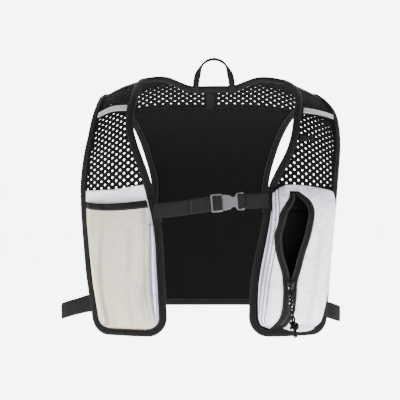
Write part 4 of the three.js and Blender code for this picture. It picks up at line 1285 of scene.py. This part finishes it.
slit_shares = [ZIP_START + (SLIT_END - ZIP_START) * i / 60 for i in range(61)]
slit = [(zip_at("left", s) + 0.8, s * FRONT_LENGTH) for s in slit_shares]
slit += [(zip_at("right", s) - 0.8, s * FRONT_LENGTH) for s in slit_shares[::-1]]
slit_ring = [(way_round(x, y), y) for x, y in slit]


def hem_lap(u):
    """How far the pocket's foot bellies down over the bottom binding."""
    return HEM_LAP * math.sin(math.pi * min(max((u - 0.28) / 0.6, 0), 1)) ** 0.7


top = zip_pocket["top"]
skin_outline = [(i / 40 * ROUND, top(i / 40)) for i in range(41)]
skin_outline += [(ROUND, top(1) + (POCKET_FOOT - top(1)) * i / 40) for i in range(1, 41)]
skin_outline += [((1 - i / 24) * ROUND, POCKET_FOOT + hem_lap(1 - i / 24)) for i in range(1, 25)]
skin_outline += [(0, POCKET_FOOT + (top(0) - POCKET_FOOT) * i / 40) for i in range(1, 40)]


def in_slit(x, y, reach):
    shifts = (-1.5, 0, 1.5) if reach > 1 else (0,)
    return any(inside(slit_ring, x + dx, y) for dx in shifts)


drawn, faces = cut_cloth(skin_outline, 3.6, [slit_ring], in_slit)
points, cloth = [], []
for x, y in drawn:
    at, across = round_pocket(right, zip_pocket, x / ROUND, min(y, POCKET_FOOT))
    points.append(on_body(across, y, BINDING_HIGH + 0.8) if y > POCKET_FOOT else at)
    cloth.append((across, y, across - pocket_row(right, zip_pocket, y)[1]))
zip_front = piece("zip_front", points, faces, white_ripstop, "white_ripstop", 0.8, cloth)
# Painted shade of the long folds on the zipped pocket's front.
shade(zip_front, [slack_shade(beside, y) for (_, y, beside) in cloth])
# The cloth goes round the pocket's side, so it is wider than the front looks.
width, length = extent(cloth)
width *= 1.2
area = min(flat_area(drawn, faces), width * length)
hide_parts("zip_pocket")

# A black lining closes the pocket behind its slit.
LINING_TOP = 0.495
cloth_piece(
    "pocket_lining",
    panel(right, LINING_TOP * FRONT_LENGTH, NET_BOTTOM + 4),
    6.0,
    lambda x, y: on_body(x, y, ON_CLOTH),
    black_cloth,
    "black_cloth",
    0.6,
)

for side, inner, outer in (("left", "left", "open_left"), ("right", "open_right", "right")):
    cloth = []

    def tape_at(u, v):
        share = ZIP_START + (TAPE_END - ZIP_START) * v
        across = zip_at(inner, share) * (1 - u) + zip_at(outer, share) * u
        cloth.append((across, share * FRONT_LENGTH))
        return on_zip(across, share * FRONT_LENGTH, 0.9)

    made, node = grid(5, 90, tape_at), f"zip_tape_{side}"
    piece(f"zip_tape_of_{side}", *made, binding_tape, "black_cloth", 0.9, cloth, node)

# Coil of polyester monofilament, black: small round ridges with a low gloss.
zip_coil, shader = finish_named("zip_coil_polyester")
shine = add(shader, "TexNoise", {"Scale": 700.0}).outputs["Fac"]
two_tone(shader, shine, ("080808", "161617"), {"Roughness": 0.35})

COIL_PITCH = 1.5
TEETH_START = 0.53
TEETH_END = 0.96
teeth = []
for edge, inward in (("open_left", 1), ("open_right", -1)):
    down = TEETH_START * FRONT_LENGTH
    while down < TEETH_END * FRONT_LENGTH:
        x = zip_at(edge, down / FRONT_LENGTH)
        at, above = (on_zip(x - inward * 0.6, down, proud) for proud in (1.6, 2.6))
        along = (on_zip(x + 1, down + 0.3 * inward, 1.6) - at).normalized()
        teeth.append(stitch(at, along, above, 3.4, 1.0, 0.8))
        down += COIL_PITCH
piece("zip_teeth", *joined(teeth), zip_coil, "black_cloth")
rows = []
for edge, shift in (("left", 1.4), ("right", -1.4)):
    line = [(zip_at(edge, share) + shift, share * FRONT_LENGTH) for share in slit_shares]
    rows.append([(on_zip(x, down, 1.4), on_zip(x, down, 2.4)) for x, down in line])
sewn("zip_stitches", rows, 3.0, 0.5)

# Zinc slider, die-cast and lacquered black: smooth, glossy, worn grey along its rims.
zip_metal, shader = finish_named("zip_metal_lacquered")
wear = add(shader, "TexNoise", {"Scale": 420.0, "Detail": 4.0}).outputs["Fac"]
glossy = {"Metallic": 0.8, "Roughness": 0.32}
two_tone(shader, wear, ("101011", "3c3c40"), glossy, stops=(0.45, 0.8))

# The slider's cross-sections: how far along, half width and height.
SLIDER_SECTIONS = [
    (-6.0, 3.3, 1.6),
    (-5.2, 4.3, 2.4),
    (-2.0, 4.4, 3.0),
    (1.5, 3.5, 3.1),
    (4.6, 3.0, 2.6),
    (6.0, 2.2, 1.6),
]
SLIDER_SIDES = 14
slider_share = SLIDER_DOWN / FRONT_LENGTH
slider_middle = (zip_at("open_left", slider_share) + zip_at("open_right", slider_share)) / 2
points = []
for along_mm, half, high in SLIDER_SECTIONS:
    for k in range(SLIDER_SIDES):
        turn = 2 * math.pi * k / SLIDER_SIDES
        c, s = math.cos(turn), math.sin(turn)
        x = math.copysign(abs(c) ** 0.5, c) * half
        proud = 2.6 + math.copysign(abs(s) ** 0.6, s) * high * 0.6
        points.append(on_zip(slider_middle + x, SLIDER_DOWN + along_mm, proud))
faces = hull(len(SLIDER_SECTIONS), SLIDER_SIDES)
piece("slider", points, faces, zip_metal, "zip_metal", node="zip_slider")
bail = []
for k in range(13):
    turn = math.pi * k / 12
    down = SLIDER_DOWN - 3.6 * math.cos(turn) + 1
    bail.append(on_zip(slider_middle, down, 4.0 + 2.2 * math.sin(turn)))
piece("slider_bail", *tube(bail, 0.75 * MM), zip_metal, "zip_metal")

# --- Sternum strap and buckle ---------------------------------------------------------------
# A webbing strap on each inner binding, closed by a side-release buckle. The left strap is threaded
# through the buckle's bars and its tail is turned back; a bar of tape anchors each strap.

WEBBING_WIDTH = 20
STERNUM_DOWN = 227
BUCKLE_LENGTH = 44
BUCKLE_HEIGHT = 24
BUCKLE_WALL = 8
BUCKLE_SHIFT = 21.5
BUCKLE_SLANT = 0.08
STRAP_TAIL = 28
ANCHOR_LENGTH = 32
ANCHOR_WIDTH = 12
ANCHOR_START = -3
STRAP_ENDS = {"left": (0.584, 6), "right": (0.552, 4)}
STRAP_OUT = ON_BINDING + TAPE_WALL + 3 * CLEARANCE + WEBBING_WALL / 2
buckle_middle = on_body(0, STERNUM_DOWN, STRAP_OUT - ripple(0, STERNUM_DOWN)) / MM
buckle_middle.x = BUCKLE_SHIFT


def in_buckle(x, y, z):
    """A point of the buckle, drawn along the strap (x), to the back (y) and up (z), in space."""
    c, s = math.cos(BUCKLE_SLANT), math.sin(BUCKLE_SLANT)
    return (buckle_middle + Vector((x * c - z * s, y, x * s + z * c))) * MM


RIBBON_SECTION = [(-0.5, 0), (-0.485, 0.38), (-0.44, 0.5), (0, 0.52), (0.44, 0.5), (0.485, 0.38)]
RIBBON_SECTION += [(-across, -out) for across, out in RIBBON_SECTION]


def ribbon(name, path, faces_to, width, node=None, wall=WEBBING_WALL, swell=lambda at: 1):
    """A webbing strap with rounded edges along a path; faces_to says where its face looks."""
    points, cloth = [], []
    run = 0.0
    for i, (at, along) in enumerate(zip(path, headings(path))):
        if i:
            run += (at - path[i - 1]).length / MM
        face = faces_to[i] - along * faces_to[i].dot(along)
        face.normalize()
        wide = along.cross(face)
        thick = wall * swell(i / (len(path) - 1))
        for across, out in RIBBON_SECTION:
            points.append(at + (wide * across * width + face * out * thick) * MM)
            cloth.append((across * width, run))
    faces = hull(len(path), len(RIBBON_SECTION))
    piece(name, points, faces, webbing, "webbing", 0, cloth, node)


def cross_row(middle, face, count):
    """The line of a row of stitches across a strap, for sewn."""
    heights = [(k / (count - 1) - 0.5) * WEBBING_WIDTH * 0.86 * MM for k in range(count)]
    return [(middle + Vector((0, 0, z)), middle + Vector((0, 0, z)) + face * MM) for z in heights]


TOWARD = Vector((0, -1, 0))
HEM_PITCH = 2.4
HEM_STITCH_WIDTH = 0.6
for side, front in fronts.items():
    sign = front["sign"]
    share, inside_by = STRAP_ENDS[side]
    down = share * FRONT_LENGTH

    def anchor_edge(at):
        return span(front["outline"], at)[0] + ANCHOR_START

    patch(
        f"anchor_{side}",
        lambda v: tuple(
            anchor_edge(down + (v - 0.5) * ANCHOR_LENGTH) + w for w in (0, ANCHOR_WIDTH)
        ),
        lambda u: (down - ANCHOR_LENGTH / 2, down + ANCHOR_LENGTH / 2),
        ON_BINDING,
        TAPE_WALL,
        (binding_tape, "black_cloth"),
        f"strap_anchor_{side}",
        2.0,
        sign,
    )
    downs = [down + ANCHOR_LENGTH * (t / 8 - 0.5) * 0.9 for t in range(9)]
    rows = [[(anchor_edge(at) + shift, at) for at in downs] for shift in (2, ANCHOR_WIDTH - 2)]
    lines = [(row, sign, ON_BINDING + TAPE_WALL) for row in rows]
    seam(f"anchor_stitches_{side}", lines, HEM_PITCH)
    edge = span(front["outline"], down)[0]
    out = STRAP_OUT - ripple(edge, down)
    ends = [on_body(sign * (edge + by), down, out) for by in (inside_by, -inside_by)]
    ends.append(in_buckle(sign * (BUCKLE_LENGTH / 2 + 3 * CLEARANCE), 0, 0))
    ends.insert(2, (ends[1] + ends[2]) / 2 + Vector((0, 0, -0.6 * MM)))
    way = smooth_path(ends, 10)
    looks = [TOWARD] * len(way)
    ribbon(f"sternum_webbing_{side}", way, looks, WEBBING_WIDTH, f"sternum_strap_{side}")
    if side == "left":
        tail_end = ends[3] + (ends[1] - ends[3]).normalized() * STRAP_TAIL * MM
        step = Vector((0, -(WEBBING_WALL + CLEARANCE) * MM, 0))
        way = smooth_path([at + step for at in (ends[3], (ends[3] + tail_end) / 2, tail_end)], 8)
        ribbon("strap_tail_webbing", way, [TOWARD] * len(way), WEBBING_WIDTH, "strap_tail")
        hem = tail_end + step + Vector((2.5, -WEBBING_WALL / 2, 0)) * MM
        sewn("tail_stitches", [cross_row(hem, TOWARD, 7)], HEM_PITCH, HEM_STITCH_WIDTH)

# Acetal resin, injection-moulded: fine spark-eroded grain, a satin gloss and a faint random mottle.
# Its dark grey is partly the plastic's own colour and partly painted reflection, lifted from black.
buckle_plastic, shader = finish_named("buckle_plastic_acetal_moulded")
eroded = add(shader, "TexNoise", {"Scale": 650.0, "Detail": 3.0}).outputs["Fac"]
mottle = add(shader, "TexNoise", {"Scale": 60.0, "Detail": 2.0}).outputs["Fac"]
two_tone(shader, mottle, ("3a3b3d", "4a4b4e"), {"Roughness": 0.36}, [(eroded, 0.2, 0.0003)])


def moulded(name, outline, wall, node=None, holes=(), bevel=0.8, crown=0.0):
    """A moulded plate, drawn along the strap, with holes, rounded edges and a crowned face."""

    def is_solid(x, y):
        return inside(outline, x, y) and not any(inside(hole, x, y) for hole in holes)

    cut, kept = triangulated([outline, *holes], [], is_solid, [], 0, 1e-5)
    rise = [crown * (1 - (p.y / (BUCKLE_HEIGHT / 2)) ** 2) for p in cut]
    front = [in_buckle(p.x, -wall / 2 - r, p.y) for p, r in zip(cut, rise)]
    back = [in_buckle(p.x, wall / 2, p.y) for p in cut]
    faces = kept + [tuple(i + len(cut) for i in f[::-1]) for f in kept]
    edges = [(a, b) for f in kept for a, b in zip(f, f[1:] + f[:1])]
    shared = set(edges)
    faces += [(b, a, a + len(cut), b + len(cut)) for a, b in edges if (b, a) not in shared]
    points = front + back
    made = piece(name, points, faces, buckle_plastic, "buckle_plastic", node=node, smooth=False)
    round_off = made.modifiers.new("rounding", "BEVEL")
    round_off.width = bevel * MM
    round_off.segments = 3
    round_off.limit_method = "ANGLE"
    round_off.angle_limit = math.radians(50)


def bar_frame(left, right_x, half, corner=0.8, steps=4):
    """A rounded rectangle."""
    made = []
    for quarter, (turn_x, turn_z) in enumerate(((1, 1), (-1, 1), (-1, -1), (1, -1))):
        cx = right_x - corner if turn_x > 0 else left + corner
        cz = (half - corner) * turn_z
        for k in range(steps + 1):
            turn = (quarter + k / steps) * math.pi / 2
            made.append((cx + corner * math.cos(turn), cz + corner * math.sin(turn)))
    return made


BAR_WIDTH = 3.2
SLOT_LENGTH = 5
MOUTH_SHARE = 0.36
half = BUCKLE_HEIGHT / 2
clip_end, socket_end = -BUCKLE_LENGTH / 2, BUCKLE_LENGTH / 2
mouth = clip_end + BUCKLE_LENGTH * MOUTH_SHARE
slot_half = WEBBING_WIDTH / 2 + CLEARANCE
# The socket's waist, from its mouth: how far along, and its share of the half height.
WAIST = [(0, 0.86), (5, 0.84), (10, 0.7), (14, 0.52), (17, 0.66), (19, 0.92)]
waist_top = smooth_path([Vector((mouth + x, half * share, 0)) for x, share in WAIST], 5)
socket_outline = [(p.x, p.y) for p in waist_top]
socket_outline += [(socket_end - 1.2, half), (socket_end, half - 1.2)]
socket_outline += [(x, -z) for x, z in socket_outline[::-1]]
socket_slot = bar_frame(socket_end - BAR_WIDTH - SLOT_LENGTH, socket_end - BAR_WIDTH, slot_half)
moulded("socket", socket_outline, BUCKLE_WALL - 1, "buckle_socket", [socket_slot], crown=0.6)
clip_outline = bar_frame(clip_end, mouth - 0.3, half, 2.0)
clip_slot = bar_frame(clip_end + BAR_WIDTH, clip_end + BAR_WIDTH + SLOT_LENGTH, slot_half)
moulded("clip", clip_outline, BUCKLE_WALL - 1.6, "buckle_clip", [clip_slot], crown=0.4)
PRONG = [(-2, 0.8), (9, 0.78), (13, 0.5), (8, 0.42), (-2, 0.5)]
for name, turn in (("lower", -1), ("upper", 1)):
    prong = [(mouth + x, turn * half * share) for x, share in PRONG][::-turn]
    moulded(f"prong_{name}", prong, BUCKLE_WALL - 4, bevel=0.5)
# The webbing comes up through each slot and lies over the bar beside it.
FOLD_ENDS = [(clip_end + 5.2, 1), (clip_end + 6.2, -3.2), (clip_end + 9, -4.3), (mouth - 1.2, -4.1)]
for name, start, over in (
    ("clip", clip_end, [(8.4, 1.5), (7.6, -2), (5.4, -3.9), (2.2, -3.6)]),
    ("clip_fold", 0, FOLD_ENDS),
    ("socket", socket_end, [(-8.3, 1), (-7.2, -3.6), (-3.6, -4.6), (1, -2.6)]),
):
    way = smooth_path([in_buckle(start + x, y, 0) for x, y in over], 6)
    looks = [Vector((at.y, -at.x, 0)) * (1 if at.x > 0 else -1) for at in headings(way)]
    ribbon(f"{name}_wrap", way, looks, WEBBING_WIDTH - 0.8, wall=1.2)

# --- Side straps ----------------------------------------------------------------------------
# A webbing tab from under each armhole binding and a longer strap that bows round the ribs to the
# back panel, both sewn in flat.

SIDE_REACH = 205
SIDE_DOWN = 367
SIDE_SLIP = {"left": 0, "right": 8}
SIDE_UP = 30
TAB_WIDTH = 22
TAB_SHARE = 0.34
TAB_LAP = 0.09
# The strap's way round the ribs: shares of the reach, of the half depth and of the front's drop.
BOWS = {
    "left": [(0.93, -0.32, 0.9), (1.02, 0, 0.922), (0.9, 0.5, 0.9), (0.68, 0.86, 0.87)],
    "right": [(0.84, -0.41, 0.895), (0.875, -0.14, 0.905), (0.83, 0.46, 0.9), (0.68, 0.84, 0.87)],
}
for side, front in fronts.items():
    sign, slip = front["sign"], SIDE_SLIP[side]
    tab_down, back_down = SIDE_DOWN + slip, SIDE_UP - BACK_LENGTH
    edge = span(front["outline"], tab_down)[1]
    back = back_edge(back_down)
    under = BINDING_LOW - 3 * CLEARANCE - WEBBING_WALL / 2 - 0.5
    outside = ON_BINDING + 7 * CLEARANCE + 1.5 * WEBBING_WALL
    route = [
        on_body(sign * (edge - BINDING_WIDTH), tab_down, under),
        on_body(sign * (edge + BINDING_WIDTH / 2), tab_down, under),
    ]
    for x, y, drop in BOWS[side]:
        bow = Vector((sign * x * SIDE_REACH, y * HALF_DEPTH, -drop * FRONT_DROP - slip))
        route.append(bow * MM)
    route.append(on_body(sign * (back + BINDING_WIDTH), back_down, outside + WEBBING_WALL))
    route.append(on_body(sign * (back - BINDING_WIDTH), back_down, outside))
    way = smooth_path(route, 14)
    lengths = [0.0]
    for a, b in zip(way, way[1:]):
        lengths.append(lengths[-1] + (b - a).length)
    looks = [Vector((at.y, -at.x, 0)).normalized() * sign for at in headings(way)]
    tab_last, strap_first = (
        max(i for i, run_to in enumerate(lengths) if run_to <= share * lengths[-1])
        for share in (TAB_SHARE, TAB_SHARE - TAB_LAP)
    )
    last = tab_last + 1
    ribbon(f"tab_{side}", way[:last], looks[:last], TAB_WIDTH, f"side_tab_{side}")
    inner = -(WEBBING_WALL + 3 * CLEARANCE) * MM
    below = [p + look * inner for p, look in zip(way, looks)][strap_first:]
    ribbon(
        f"side_webbing_{side}", below, looks[strap_first:], WEBBING_WIDTH, f"side_strap_{side}"
    )
    hems = []
    for i in (strap_first + 1, strap_first + 3):
        on_face = way[i] + looks[i] * (WEBBING_WALL / 2 + 0.1) * MM
        hems.append(cross_row(on_face, looks[i], 8))
    sewn(f"tab_stitches_{side}", hems, HEM_PITCH, HEM_STITCH_WIDTH)

# --- Hang loop ------------------------------------------------------------------------------
# A loop of narrow binding tape, its feet sewn flat on the inside of the neck binding; it stands up
# on its own edge.

LOOP_SPAN = 52
LOOP_TOP = 40 * MM
LOOP_SHIFT = 5
LOOP_WIDTH = 9
LOOP_WALL = 1.2
LOOP_SWELL = 1.9
# Half of the loop's way, from its foot up: shares of its half width and of its rise.
LOOP_WAY = [(0.95, 0.3), (0.78, 0.65), (0.48, 0.9)]
foot_out = BINDING_LOW - CLEARANCE - LOOP_WALL / 2 - 0.4
foot_down = 1 - NECK_DEPTH - BINDING_WIDTH
foot_end = on_body(0, foot_down, foot_out)
foot_edge = on_body(0, neck_down(LOOP_SHIFT + (LOOP_SPAN + LOOP_WIDTH) / 2) + 2, foot_out)
foot_face = (foot_end - on_body(0, foot_down, 0)).normalized()


def loop_half(turn):
    """Half of the loop's way, from its foot up."""
    half_way = [(1, foot_end.y, foot_end.z), (1, foot_edge.y, foot_edge.z)]
    for x, rise in LOOP_WAY:
        half_way.append((x, foot_edge.y, foot_edge.z + (LOOP_TOP - foot_edge.z) * rise))
    return [Vector(((LOOP_SHIFT + turn * x * LOOP_SPAN / 2) * MM, y, z)) for x, y, z in half_way]


top_of_loop = Vector((LOOP_SHIFT * MM, foot_edge.y, LOOP_TOP))
way = smooth_path([*loop_half(-1), top_of_loop, *loop_half(1)[::-1]], 9)
looks = []
for p in way:
    share = (p.z - foot_edge.z) / (LOOP_TOP - foot_edge.z)
    share = min(max((share - 0.15) / 0.8, 0), 1)
    outward = Vector((p.x - LOOP_SHIFT * MM, 0, p.z - foot_edge.z)).normalized()
    looks.append(foot_face.lerp(outward, share * share * (3 - 2 * share)))


def loop_swell(at):
    """The tape is doubled and stitched over the crown, so it is thickest there."""
    return 1 + LOOP_SWELL * math.sin(math.pi * at) ** 1.5


ribbon("loop", way, looks, LOOP_WIDTH, "hang_loop", LOOP_WALL, loop_swell)

low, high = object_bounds()
{"cad": [list(c) for c in cad_box], "scene": [list(low), list(high)]}
